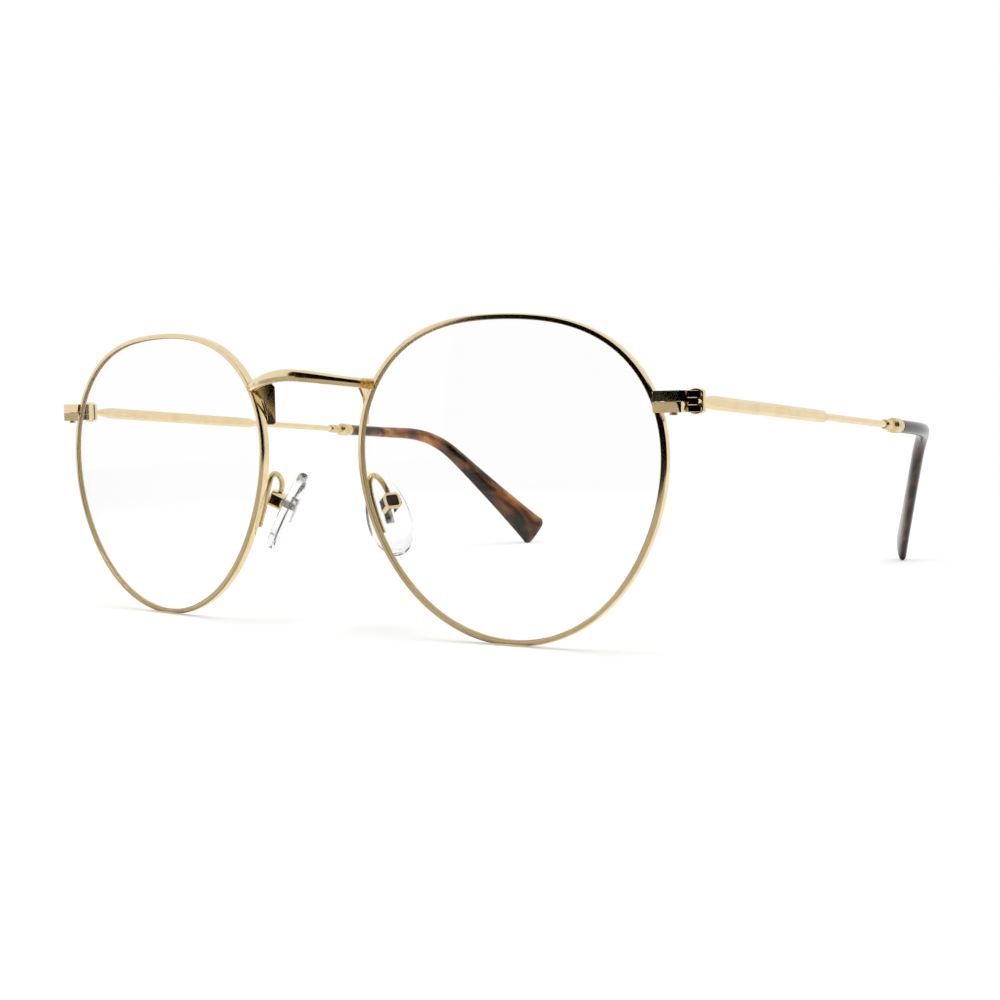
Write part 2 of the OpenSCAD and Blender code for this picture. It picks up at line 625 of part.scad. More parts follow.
// Pad box: a small channel that the tab of the pad swings in
module pad_box() {
    color("goldenrod") in_pad() difference() {
        intersection() {
            block([box_front, -box_w / 2, box_up - box_h / 2], [box_back, box_w / 2, box_up + box_h / 2]);
            translate([0, 0, box_up]) rotate([0, 90, 0]) cylinder(r = box_h * 0.6, h = box_back + 1);
        }
        block([box_front - 1, -box_slot / 2, box_up - box_h],
            [box_back - box_floor, box_slot / 2, box_up + box_h / 2 - box_floor]);
        translate([pad_screw_x, -box_w, box_up]) rod_y(pad_screw_r + thread_clear, 2 * box_w);
    }
}
module pad_screw() {
    side = box_w / 2 + braze_gap;
    color("darkgoldenrod") in_pad() difference() {
        union() {
            translate([pad_screw_x, -box_w / 2, box_up]) rod_y(pad_screw_r, box_w / 2 + side + eps);
            translate([pad_screw_x, side, box_up]) rod_y(pad_head_r, pad_head_h);
        }
        block([pad_screw_x - 1, side + pad_head_h - slot_d, box_up - slot_w / 2],
            [pad_screw_x + 1, side + pad_head_h + 1, box_up + slot_w / 2]);
    }
}

// Pad insert: a plate moulded into the pad, with a tab that the pad screw goes through
module insert_body(grow, tab_reach) {
    block([-insert_t / 2 - grow, -insert_w / 2 - grow, insert_up - insert_len / 2 - grow],
        [insert_t / 2 + grow, insert_w / 2 + grow, insert_up + insert_len / 2 + grow]);
    block([-insert_t / 2, -tab_w / 2 - grow, box_up - tab_h / 2 - grow],
        [tab_reach, tab_w / 2 + grow, box_up + tab_h / 2 + grow]);
}
module pad_insert() {
    color("gainsboro") in_pad() difference() {
        union() {
            insert_body(0, pad_screw_x);
            translate([pad_screw_x, -tab_w / 2, box_up]) rod_y(tab_h / 2, tab_w);
        }
        translate([pad_screw_x, -tab_w, box_up]) rod_y(pad_screw_r + run_clear, 2 * tab_w);
    }
}

// Pad: a soft drop-shaped cushion, narrower at the top and domed towards the nose
module pad() {
    narrowing = 0.2;
    levels = [[0.42, -0.5], [0.78, -0.42], [0.97, -0.2], [1, 0.12], [0.93, 0.42], [0.7, 0.5]];
    rings = [for (level = levels) [for (i = [0:pad_steps - 1]) let (a = 360 * i / pad_steps)
        [level[1] * pad_t, level[0] * pad_w / 2 * cos(a) * (1 - narrowing * sin(a)),
            level[0] * pad_len / 2 * sin(a)]]];
    color("whitesmoke", 0.5) in_pad() difference() {
        skin(rings);
        insert_body(pocket_clear, pad_t);
    }
}

left() bridge();
left() rim();  // left_rim
right() rim();  // right_rim
left() lens();  // left_lens
right() lens();  // right_lens
left() end_piece();  // left_end_piece
right() end_piece();  // right_end_piece
left() closing_block();  // left_closing_block
right() closing_block();  // right_closing_block
left() closing_screw();  // left_closing_screw
right() closing_screw();  // right_closing_screw
left() front_hinge();  // left_front_hinge
right() front_hinge();  // right_front_hinge
left() hinge_screw();  // left_hinge_screw
right() hinge_screw();  // right_hinge_screw
left() temple_hinge();  // left_temple_hinge
right() temple_hinge();  // right_temple_hinge
left() temple_head();  // left_temple_head
right() temple_head();  // right_temple_head
left() temple();  // left_temple
right() temple();  // right_temple
left() ferrule();  // left_ferrule
right() ferrule();  // right_ferrule
left() tip();  // left_tip
right() tip();  // right_tip
left() pad_arm();  // left_pad_arm
right() pad_arm();  // right_pad_arm
left() pad_box();  // left_pad_box
right() pad_box();  // right_pad_box
left() pad_screw();  // left_pad_screw
right() pad_screw();  // right_pad_screw
left() pad_insert();  // left_pad_insert
right() pad_insert();  // right_pad_insert
left() pad();  // left_pad
right() pad();  // right_pad
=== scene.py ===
import logging
import math
from collections.abc import Callable
from dataclasses import dataclass, field
from enum import Enum
from functools import cached_property
from math import cos, pi, radians, sin

import bmesh
import bpy
from mathutils import Matrix, Vector


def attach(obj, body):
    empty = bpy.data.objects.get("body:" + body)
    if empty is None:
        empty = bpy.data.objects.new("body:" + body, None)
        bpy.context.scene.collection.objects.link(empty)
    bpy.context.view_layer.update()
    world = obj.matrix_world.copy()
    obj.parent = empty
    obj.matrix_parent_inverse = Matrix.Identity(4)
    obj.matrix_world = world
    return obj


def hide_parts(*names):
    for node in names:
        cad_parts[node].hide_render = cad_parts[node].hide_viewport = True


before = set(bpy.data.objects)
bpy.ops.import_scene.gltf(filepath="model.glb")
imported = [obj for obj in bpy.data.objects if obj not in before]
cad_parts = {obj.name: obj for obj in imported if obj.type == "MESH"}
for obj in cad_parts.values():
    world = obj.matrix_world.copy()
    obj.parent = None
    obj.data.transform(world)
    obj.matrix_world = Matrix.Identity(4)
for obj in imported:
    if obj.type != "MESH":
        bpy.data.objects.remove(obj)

# Round metal eyeglasses, dressed for a studio picture.
# Sizes are in millimetres and angles in degrees, as the maker's drawing has them; meshes are made in metres.
# +X is the wearer's left, +Y runs back along the temples and +Z is up.

# Points closer than WELD count as one. Machined faces that meet at less than FLAT_ANGLE are one face, and an edge
# sharper than EDGE_ANGLE is broken.

LOG = logging.getLogger("eyeglasses")
MM = 0.001
WELD = 1e-7
FLAT_ANGLE = 0.8
EDGE_ANGLE = 33

Finish = bpy.types.Material
Piece = bpy.types.Object
Outline = list[tuple[float, float]]
Line = list[Vector]
Triple = tuple[float, float, float]


class Side(Enum):
    """The wearer's left or right half of the frame; the value is the sign of X there."""

    LEFT = 1
    RIGHT = -1

    @property
    def prefix(self) -> str:
        """The start of the names of this side's pieces."""
        return "left_" if self is Side.LEFT else "right_"

    @property
    def arm_body(self) -> str:
        """The body that folds on this side."""
        return self.prefix + "side"

    @property
    def pad_body(self) -> str:
        """The body of this side's nose pad."""
        return self.prefix + "nose_pad"


class Screw(Enum):
    """Which of the frame's three kinds of screw."""

    CLOSING = "closing_screw"
    HINGE = "hinge_screw"
    PAD = "pad_screw"


def smooth(t: float) -> float:
    """Rises from 0 to 1 with level ends."""
    u = min(max(t, 0.0), 1.0)
    return u * u * (3 - 2 * u)


def mixed(a: float, b: float, t: float) -> float:
    """The number that lies a share t of the way from a to b."""
    return a + (b - a) * t


def rounded_power(c: float, power: float) -> float:
    """Raises a cosine or sine to a power and keeps its sign."""
    return math.copysign(abs(c) ** power, c)


def turns(steps: int) -> list[float]:
    """The angles, in radians, of points set evenly round a circle."""
    return [2 * pi * i / steps for i in range(steps)]


def rotated(a: float | Vector, b: float | Vector, angle: float) -> tuple:
    """Turns a pair of coordinates or directions by an angle, from the first towards the second."""
    c, s = cos(radians(angle)), sin(radians(angle))
    return a * c - b * s, a * s + b * c


def aimed(yaw: float, pitch: float) -> Vector:
    """The direction that looks back, turned by one angle to the wearer's right and by another down."""
    y, p = radians(yaw), radians(pitch)
    return Vector((-sin(y) * cos(p), cos(y) * cos(p), -sin(p)))


def bezier(p: Line, t: float) -> Vector:
    """Gives the point a share t of the way along a cubic curve with four control points."""
    s = 1 - t
    return s**3 * p[0] + 3 * t * s * s * p[1] + 3 * t * t * s * p[2] + t**3 * p[3]


def spline(rows: Outline, steps: int) -> Outline:
    """Rounds a row of points into a smooth line that passes through them.

    Args:
        rows: The points.
        steps: New points for each stretch.

    Returns:
        The finer row.
    """
    made, last = [], len(rows) - 1
    for i in range(last):
        near = (rows[max(i - 1, 0)], rows[i], rows[i + 1], rows[min(i + 2, last)])
        for t in (k / steps for k in range(steps)):
            point = (
                0.5 * (2 * b + (c - a) * t + (2 * a - 5 * b + 4 * c - d) * t * t + (3 * b - a - 3 * c + d) * t**3)
                for a, b, c, d in zip(*near)
            )
            made.append(tuple(point))
    return made + [rows[-1]]


def filleted(points: Outline, radius: float, steps: int = 4) -> Outline:
    """Rounds the corners of a closed flat outline.

    Args:
        points: The corners, in order.
        radius: Radius of the rounding, less where two corners are close.
        steps: New points for each corner, less one.

    Returns:
        The rounded outline.
    """
    most, made = 0.45, []
    for i, here in enumerate(points):
        corner = Vector(here)
        before, after = Vector(points[i - 1]) - corner, Vector(points[(i + 1) % len(points)]) - corner
        cut = min(radius / math.tan(before.angle(after) / 2), most * before.length, most * after.length)
        start, end = corner + cut * before.normalized(), corner + cut * after.normalized()
        for t in (k / steps for k in range(steps + 1)):
            made.append(tuple((1 - t) ** 2 * start + 2 * t * (1 - t) * corner + t * t * end))
    return made


def inset_towards(middle: Vector, point: tuple[float, float], inset: float) -> tuple[float, float]:
    """Moves a point of a flat outline towards the outline's middle."""
    inward = (middle - Vector(point)).normalized() * inset
    return point[0] + inward[0], point[1] + inward[1]


def directions(path: Line) -> Line:
    """Gives the direction of a path at each of its points."""
    last = len(path) - 1
    return [(path[min(i + 1, last)] - path[max(i - 1, 0)]).normalized() for i in range(len(path))]


def ring(at: Vector, along: Vector, ref: Vector, ru: float, rv: float, sides: int, power: float = 1.0) -> Line:
    """Puts a closed ring of points round a point of a path.

    Args:
        at: The point of the path.
        along: Direction of the path there.
        ref: Direction that the first radius points along, as nearly as it can.
        ru: Radius along that direction.
        rv: Radius across it.
        sides: Points in the ring.
        power: 1 is an ellipse, and less is squarer.

    Returns:
        The points, in order.
    """
    u = (ref - ref.dot(along) * along).normalized()
    v = along.cross(u)
    return [
        at + ru * rounded_power(cos(a), power) * u + rv * rounded_power(sin(a), power) * v
        for a in turns(sides)
    ]


def linear(code: str) -> tuple[float, float, float, float]:
    """Turns an sRGB hex colour into the linear colour that a shader takes.

    Args:
        code: Six hex digits after a hash.

    Returns:
        Red, green, blue and an alpha of 1.
    """
    made = []
    for i in (1, 3, 5):
        c = int(code[i : i + 2], 16) / 255
        made.append(c / 12.92 if c <= 0.04045 else ((c + 0.055) / 1.055) ** 2.4)
    return (*made, 1.0)


def linked(name: str, data: bpy.types.ID) -> Piece:
    """Puts a new object in the scene.

    Args:
        name: Its name.
        data: Its mesh, curve, lamp or camera.

    Returns:
        The object.
    """
    made = bpy.data.objects.new(name, data)
    bpy.context.scene.collection.objects.link(made)
    return made


def add_node(
    tree: bpy.types.NodeTree, kind: str, settings: dict | None = None, inputs: dict | None = None
) -> bpy.types.Node:
    """Adds a node to a tree, with its settings and its inputs.

    Args:
        tree: A material's, a world's or a geometry tree.
        kind: The node's type.
        settings: Its properties, by name.
        inputs: Its sockets by name or number, each a value, or a socket or node to link.

    Returns:
        The node.
    """
    node = tree.nodes.new(kind)
    for name, value in (settings or {}).items():
        setattr(node, name, value)
    for key, value in (inputs or {}).items():
        if isinstance(value, bpy.types.Node):
            value = value.outputs[0]
        if isinstance(value, bpy.types.NodeSocket):
            tree.links.new(value, node.inputs[key])
        else:
            node.inputs[key].default_value = value
    return node


class ShaderWork:
    """The shader tree of a material or world under construction, and what most finishes need in it."""

    def __init__(self, owner: bpy.types.ID) -> None:
        """Empties the owner's tree.

        Args:
            owner: The material or world.
        """
        owner.use_nodes = True
        self.owner, self.tree = owner, owner.node_tree
        self.tree.nodes.clear()

    @cached_property
    def place(self) -> bpy.types.NodeSocket:
        """The Object coordinates."""
        return self.add("TexCoord").outputs["Object"]

    def add(self, kind: str, settings: dict | None = None, inputs: dict | None = None) -> bpy.types.Node:
        """Adds a node; the kind leaves out the word that all shader nodes start with."""
        return add_node(self.tree, "ShaderNode" + kind, settings, inputs)

    def maths(self, operation: str, *values: object) -> bpy.types.Node:
        """Adds a Math node."""
        return self.add("Math", {"operation": operation}, dict(enumerate(values)))

    def vector(self, operation: str, *values: object) -> bpy.types.Node:
        """Adds a Vector Math node."""
        return self.add("VectorMath", {"operation": operation}, dict(enumerate(values)))

    def noise(self, scale: float, vector: object = None, **more: float) -> bpy.types.Node:
        """Adds a noise texture, at the Object coordinates unless a vector is given."""
        at = self.place if vector is None else vector
        return self.add("TexNoise", inputs={"Vector": at, "Scale": scale, **more})

    def spread(self, value: object, *limits: float) -> bpy.types.Node:
        """Adds a Map Range node: from low, from high, to low, to high, the last two 0 and 1 if left out."""
        return self.add("MapRange", inputs=dict(enumerate((value, *limits))))

    def bump(self, height: object, strength: float, distance: float = 0.02) -> bpy.types.Node:
        """Adds a bump of some depth in millimetres."""
        return self.add("Bump", inputs={"Strength": strength, "Distance": distance * MM, "Height": height})

    def ramp(self, value: object, stops: list[tuple[float, str]]) -> bpy.types.Node:
        """Adds a Color Ramp.

        Args:
            value: What it colours.
            stops: Each stop's place and sRGB hex colour.

        Returns:
            The node.
        """
        node = self.add("ValToRGB", inputs={0: value})
        elements = node.color_ramp.elements
        while len(elements) > 1:
            elements.remove(elements[-1])
        elements[0].position, elements[0].color = stops[0][0], linear(stops[0][1])
        for place, code in stops[1:]:
            elements.new(place).color = linear(code)
        return node

    def seen(self) -> bpy.types.Node:
        """Gives 1 to a camera, mirror or lens ray, and 0 to every other.

        Returns:
            The node.
        """
        ray = self.add("LightPath").outputs
        eye = self.maths("MAXIMUM", ray["Is Camera Ray"], ray["Is Glossy Ray"])
        return self.maths("MAXIMUM", eye, ray["Is Transmission Ray"])

    def close(self, shader: bpy.types.Node, output: str = "OutputMaterial") -> bpy.types.ID:
        """Links the shader to the output and gives back the owner."""
        self.add(output, inputs={"Surface": shader})
        return self.owner

    def principled(self, inputs: dict) -> Finish:
        """Closes a material with a Principled shader."""
        return self.close(self.add("BsdfPrincipled", inputs=inputs))


def new_material(name: str) -> ShaderWork:
    """Starts a material."""
    return ShaderWork(bpy.data.materials.new(name))


@dataclass(frozen=True)
class PlatedMetal:
    """Champagne gold plating on nickel silver wire: polished, so it mirrors the room, with faint polishing marks."""

    name: str
    body: str
    shade: str
    roughness_low: float = 0.11
    roughness_high: float = 0.17
    swirl_mm: float = 2.5
    grain_mm: float = 0.08
    relief: float = 0.04
    metallic: float = 1.0
    edge: str = "#FFFFFF"

    def make(self) -> Finish:
        """Builds the material. The grain is drawn at 0.08 mm, coarser than real plating, so that it shows.

        Returns:
            The material.
        """
        work = new_material(self.name)
        swirl = work.noise(1 / (self.swirl_mm * MM), Detail=3.0, Roughness=0.6)
        grain = work.noise(1 / (self.grain_mm * MM), Detail=2.0, Roughness=0.5)
        share = work.spread(swirl, 0.35, 0.7)
        tint = work.add("Mix", {"data_type": "RGBA"}, {0: share, 6: linear(self.body), 7: linear(self.shade)})
        return work.principled(
            {
                "Base Color": tint.outputs[2],
                "Metallic": self.metallic,
                "Specular Tint": linear(self.edge),
                "Roughness": work.spread(swirl, 0.3, 0.75, self.roughness_low, self.roughness_high),
                "Normal": work.bump(grain, self.relief),
            }
        )


@dataclass(frozen=True)
class DemoLensPlastic:
    """Clear demonstration lens with an anti-glare coat: the index is set for how little such a coat mirrors."""

    name: str = "clear_lens_resin"
    tint: str = "#FEFEFE"
    ior: float = 1.15
    smear_scale: float = 90.0
    smear_roughness: float = 0.02

    def make(self) -> Finish:
        """Builds the material, with a few faint smears that only a glancing light shows.

        Returns:
            The material.
        """
        work = new_material(self.name)
        smear = work.noise(self.smear_scale, Detail=4.0, Distortion=1.5)
        gloss = work.spread(smear, 0.5, 0.8, 0.0, self.smear_roughness)
        return work.principled(
            {"Base Color": linear(self.tint), "Roughness": gloss, "IOR": self.ior, "Transmission Weight": 1.0}
        )


@dataclass(frozen=True)
class GroundEdge:
    """Ground edge of a lens: matt, coloured with a painted reflection of the gold groove that it sits in, as it shows
    through the lens.
    """

    name: str = "ground_lens_edge"
    # Painted reflection: the edge's colour is the gold of the groove, seen through the lens.
    colour: str = "#BFA777"
    roughness: float = 0.55
    ior: float = 1.498
    line_scale: float = 4000.0

    def make(self) -> Finish:
        """Builds the material, with the grinding wheel's fine lines.

        Returns:
            The material.
        """
        work = new_material(self.name)
        relief = work.bump(work.noise(self.line_scale, Detail=2.0), 0.2)
        return work.principled(
            {"Base Color": linear(self.colour), "Roughness": self.roughness, "IOR": self.ior, "Normal": relief}
        )


@dataclass(frozen=True)
class TortoiseAcetate:
    """Tortoiseshell cellulose acetate, tumbled to a gloss: drifts of amber in dark brown, drawn out along the tip."""

    name: str = "tortoiseshell_acetate"
    drift_mm: float = 6.0
    fleck_mm: float = 2.4
    grain: Triple = (0.45, -0.7, 0.55)
    stretch: float = 0.62
    warp: Triple = (0.003, 0.003, 0.003)
    fleck_share: float = 0.35
    drift_share: float = 0.65
    amber: float = 0.0
    roughness: float = 0.18
    ior: float = 1.49

    def make(self) -> Finish:
        """Builds the material from two sizes of drift, warped as the cooked sheets are.

        Returns:
            The material.
        """
        work = new_material(self.name)
        along = work.vector("DOT_PRODUCT", work.place, self.grain)
        spare = work.maths("MULTIPLY", along.outputs["Value"], self.stretch)
        part = work.add("VectorMath", {"operation": "SCALE"}, {0: self.grain, 3: spare})
        drawn = work.vector("SUBTRACT", work.place, part)
        coarse, fine = 1 / (self.drift_mm * MM), 1 / (self.fleck_mm * MM)
        warp = work.noise(coarse, drawn, Detail=2.0)
        moved = work.vector("MULTIPLY_ADD", warp.outputs["Color"], self.warp, drawn)
        drift = work.noise(coarse, moved, Detail=3.0, Roughness=0.55, Distortion=0.6)
        fleck = work.noise(fine, moved, Detail=4.0, Roughness=0.6)
        both = work.maths("MULTIPLY_ADD", fleck, self.fleck_share, work.maths("MULTIPLY", drift, self.drift_share))
        stops = [(0.40, "#14100D"), (0.46, "#2E2017"), (0.52, "#573822"), (0.58, "#87562F"), (0.66, "#B27C45")]
        return work.principled(
            {
                "Base Color": work.ramp(work.maths("ADD", both, self.amber), stops),
                "Roughness": self.roughness,
                "IOR": self.ior,
                "Specular IOR Level": 0.32,
                "Coat Weight": 0.1,
                "Coat Roughness": 0.08,
                "Normal": work.bump(fleck, 0.05, 0.05),
            }
        )


@dataclass(frozen=True)
class ClearSilicone:
    """Moulded silicone of a nose pad: clear, with a soft skin that shows as a slightly dull gloss."""

    name: str = "clear_silicone"
    tint: str = "#FAFBFB"
    roughness: float = 0.1
    haze: float = 0.04
    ior: float = 1.41
    skin_scale: float = 2500.0

    def make(self) -> Finish:
        """Builds the material, with the mould's faint texture as a bump.

        Returns:
            The material.
        """
        work = new_material(self.name)
        skin = work.noise(self.skin_scale, Detail=2.0)
        dull = work.spread(skin, 0.0, 1.0, self.roughness, self.roughness + self.haze)
        return work.principled(
            {
                "Base Color": linear(self.tint),
                "Roughness": dull,
                "IOR": self.ior,
                "Transmission Weight": 1.0,
                "Normal": work.bump(skin, 0.03),
            }
        )


@dataclass(frozen=True)
class StudioPaper:
    """White studio paper: matt and seamless, and it keeps the shadow of what stands on it."""

    name: str = "white_studio_paper"
    colour: str = "#FBFBFA"
    glow: float = 0.28
    near_mm: float = 120.0
    far_mm: float = 330.0
    fibre_scale: float = 1800.0

    def make(self) -> Finish:
        """Builds the material. To a camera, mirror or lens ray part of it is plain white, so the sweep is white.

        Returns:
            The material.
        """
        work = new_material(self.name)
        relief = work.bump(work.noise(self.fibre_scale, Detail=3.0), 0.02)
        matt = work.add("BsdfDiffuse", inputs={"Color": linear(self.colour), "Roughness": 0.6, "Normal": relief})
        white = work.add("Emission", inputs={"Color": (1, 1, 1, 1), "Strength": 1.0})
        away = work.vector("LENGTH", work.place)
        limits = {0: away.outputs["Value"], 1: self.near_mm * MM, 2: self.far_mm * MM, 3: self.glow, 4: 1.0}
        fade = work.add("MapRange", {"interpolation_type": "SMOOTHSTEP"}, limits)
        share = work.maths("MULTIPLY", work.seen(), fade)
        return work.close(work.add("MixShader", inputs={0: share, 1: matt, 2: white}))


@dataclass(frozen=True)
class MattCard:
    """Matt card, which a studio stands round polished metal so that its edges read."""

    name: str
    colour: str

    def make(self) -> Finish:
        """Builds the material: the card is there for a ray that polished metal has turned, and for no other.

        Returns:
            The material.
        """
        work = new_material(self.name)
        matt = work.add("BsdfDiffuse", inputs={"Color": linear(self.colour), "Roughness": 1.0})
        turned = work.maths("GREATER_THAN", work.add("LightPath").outputs["Glossy Depth"], 0.5)
        return work.close(work.add("MixShader", inputs={0: turned, 1: work.add("BsdfTransparent"), 2: matt}))


@dataclass
class Finishes:
    """Every finish of the frame, made once."""

    gold: Finish
    satin: Finish
    braze: Finish
    dark: Finish
    tarnish: Finish
    screw: Finish
    lens: Finish
    lens_edge: Finish
    tortoise: dict[Side, Finish]
    silicone: Finish
    insert: Finish

    @classmethod
    def make(cls) -> "Finishes":
        """Builds the materials.

        Returns:
            The finishes.
        """
        dark_cut = TortoiseAcetate("tortoiseshell_acetate_dark_cut", grain=(-0.45, 0.7, -0.55), amber=-0.1)
        amber_cut = TortoiseAcetate("tortoiseshell_acetate_amber_cut", grain=(0.45, 0.7, -0.55), amber=0.045)
        return cls(
            gold=PlatedMetal("champagne_gold_plating", "#EBD7AE", "#E4CC9E").make(),
            satin=PlatedMetal("satin_gold_plating", "#E4CE9F", "#CDB27C", 0.26, 0.36, 1.2, 0.06, 0.12).make(),
            braze=PlatedMetal("gold_braze_fillet", "#F6C468", "#A06A28", 0.28, 0.42, 0.35, 0.15, 0.5, 0.6).make(),
            # Painted reflection: a black finish on the hinge's outward end and the reed crowns, standing in for the
            # dark that they mirror.
            dark=PlatedMetal("black_painted_reflection", "#1C1815", "#0F0C0A", 0.16, 0.26, edge="#9A9088").make(),
            # Painted shade: a dark brown finish that stands in for the shade in the pad box's pocket, on its front and
            # on the pad screw.
            tarnish=PlatedMetal("tarnished_recess", "#4C403A", "#2F2624", 0.35, 0.5, 0.6).make(),
            screw=PlatedMetal("gold_plated_steel_screw", "#DFC797", "#C4A872", 0.18, 0.3, 0.5, 0.06, 0.08).make(),
            lens=DemoLensPlastic().make(),
            lens_edge=GroundEdge().make(),
            tortoise={Side.LEFT: dark_cut.make(), Side.RIGHT: amber_cut.make()},
            silicone=ClearSilicone().make(),
            insert=PlatedMetal("stamped_stainless_steel", "#D6D7D6", "#BDBEBD", 0.2, 0.3, 0.6, 0.07, 0.1).make(),
        )


@dataclass(frozen=True)
class FrontPlan:
    """The maker's drawing of the front: outline of a lens, section of the rim, and how the front is bent and set."""

    lens_width: float = 48.2
    lens_height: float = 45.8
    pear: float = 0.94
    lean: float = 0.25
    swell: float = 0.26
    lens_thickness: float = 1.2
    base_curve: float = 130.0
    bevel_height: float = 0.33
    bevel_width: float = 0.6
    lens_clear: float = 0.02
    rim_wall: float = 0.42
    rim_depth: float = 1.4
    rim_chamfer: float = 0.16
    rim_slit: float = 0.12
    lens_gap: float = 20.6
    wrap: float = 4.65
    tilt: float = 0.9
    hinge_rise: float = 9.8
    braze_gap: float = 0.03
    cad_steps: int = 84
    middle_y: float = 66.2758
    rounds: int = 8

    def lens_radius(self, a: float) -> float:
        """Radius of the lens outline at an angle: 0 points to the temple and 90 up.

        Args:
            a: The angle.

        Returns:
            The radius.
        """
        t = radians(a)
        w, h = self.lens_width, self.lens_height
        return (
            (w + h) / 4
            + self.swell
            + (w - h) / 4 * cos(2 * t)
            - self.lean * sin(2 * t)
            + self.pear * sin(3 * t)
            - self.swell * cos(4 * t)
        )

    def rim_radius(self, a: float) -> float:
        """Radius of the outside of the rim at an angle."""
        return self.lens_radius(a) + self.lens_clear + self.rim_wall

    def side_angle(self, height: float, middle: float, sign: int) -> float:
        """Angle, to a side of 0 or 180, at which the rim's outside is at a height over the lens centre.

        Args:
            height: The height.
            middle: 0 for the temple side and 180 for the nose side.
            sign: Which way the angle goes there as the height grows.

        Returns:
            The angle.
        """
        a = middle
        for _ in range(self.rounds):
            a = middle + sign * math.degrees(math.asin(height / self.rim_radius(a)))
        return a

    def nose_angle(self, height: float) -> float:
        """Angle on the nose side at which the rim's outside is at a height over the lens centre."""
        return self.side_angle(height, 180.0, -1)

    def turned(self, x: float, y: float, z: float) -> Vector:
        """Takes a point of the lens's own frame, bowed to its curve, to the left half of the front.

        Args:
            x: Distance towards the temple.
            y: Distance back.
            z: Distance up.

        Returns:
            The point.
        """
        bowed = y + (x * x + z * z) / (2 * self.base_curve)
        across, back = rotated(x, bowed, self.wrap)
        back, up = rotated(back, z, self.tilt)
        return Vector((across + (self.lens_width + self.lens_gap) / 2, back, up))

    @property
    def inner(self) -> float:
        """Distance of the rim's inner wall from its outside, below zero."""
        return -(self.rim_wall + self.bevel_height)

    @cached_property
    def split_angle(self) -> float:
        """Angle at which the rim is slit, inside the end piece."""
        return self.side_angle(self.hinge_rise, 0.0, 1)

    @cached_property
    def slit_angle(self) -> float:
        """Width of the slit as an angle."""
        return math.degrees(self.rim_slit / self.rim_radius(self.split_angle))

    def rim_angles(self, steps: int) -> list[float]:
        """Angles of even steps round the rim, from one side of the slit to the other."""
        start, span = self.split_angle + self.slit_angle / 2, 360 - self.slit_angle
        return [start + i * span / steps for i in range(steps + 1)]

    @cached_property
    def lens_z(self) -> float:
        """Height of the lens centres that sets the rims down on the table.

        Returns:
            The height.
        """
        low = 0.0
        for a in self.rim_angles(self.cad_steps):
            t, r = radians(a), self.rim_radius(a)
            for y in (0, self.rim_chamfer, self.rim_depth - self.rim_chamfer, self.rim_depth):
                low = min(low, self.turned(r * cos(t), y, r * sin(t))[2])
        return -low

    @cached_property
    def hinge_z(self) -> float:
        """Height of the hinges."""
        return self.lens_z + self.hinge_rise

    def at(self, a: float, radius: float, depth: float) -> Vector:
        """A point of the left half of the front, set down on the table.

        Args:
            a: Angle round the lens.
            radius: Distance from the lens centre.
            depth: Distance back from the front of the rim.

        Returns:
            The point.
        """
        t = radians(a)
        return self.turned(radius * cos(t), depth, radius * sin(t)) + Vector((0, 0, self.lens_z))

    def behind_rim(self, a: float, radius: float) -> Vector:
        """The middle of a wire of some radius that lies along the back of the rim."""
        return self.at(a, self.rim_radius(a) + self.inner / 2, self.rim_depth + self.braze_gap + radius)

    @cached_property
    def rim_end(self) -> Vector:
        """The outside of the rim where the end piece starts."""
        return self.at(self.split_angle, self.rim_radius(self.split_angle), 0)


PLAN = FrontPlan()


@dataclass(frozen=True)
class Ticket:
    """What a piece is called, which solid it stands for, where it belongs and how it is finished.

    Edges sharper than the angle stay sharp; the usual angle lets a machined solid's flat faces mirror as flats.
    """

    name: str
    node: str
    side: Side
    body: str
    slot: str
    finish: Finish
    sharp: float = 13.0

    def dress(self, mesh: bpy.types.Mesh) -> Piece:
        """Merges a mesh's doubles, turns its faces outwards, smooths it and fixes it to its body as a piece.

        Args:
            mesh: The mesh, in metres.

        Returns:
            The piece, at the origin.
        """
        work = bmesh.new()
        work.from_mesh(mesh)
        bmesh.ops.remove_doubles(work, verts=work.verts, dist=WELD)
        bmesh.ops.recalc_face_normals(work, faces=work.faces)
        work.to_mesh(mesh)
        work.free()
        mesh.name = self.name
        mesh.shade_smooth()
        mesh.set_sharp_from_angle(angle=radians(self.sharp))
        piece = linked(self.name, mesh)
        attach(piece, self.body)
        if self.node:
            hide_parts(self.node)
        LOG.info("%s: %d faces, on %s", piece.name, len(mesh.polygons), self.body)
        return piece

    def bake(self, start: Piece) -> Piece:
        """Dresses what an object's modifiers make, and removes the object.

        Args:
            start: The object.

        Returns:
            The piece.
        """
        bpy.context.view_layer.update()
        made = bpy.data.meshes.new_from_object(start.evaluated_get(bpy.context.evaluated_depsgraph_get()))
        bpy.data.objects.remove(start)
        return self.dress(made)


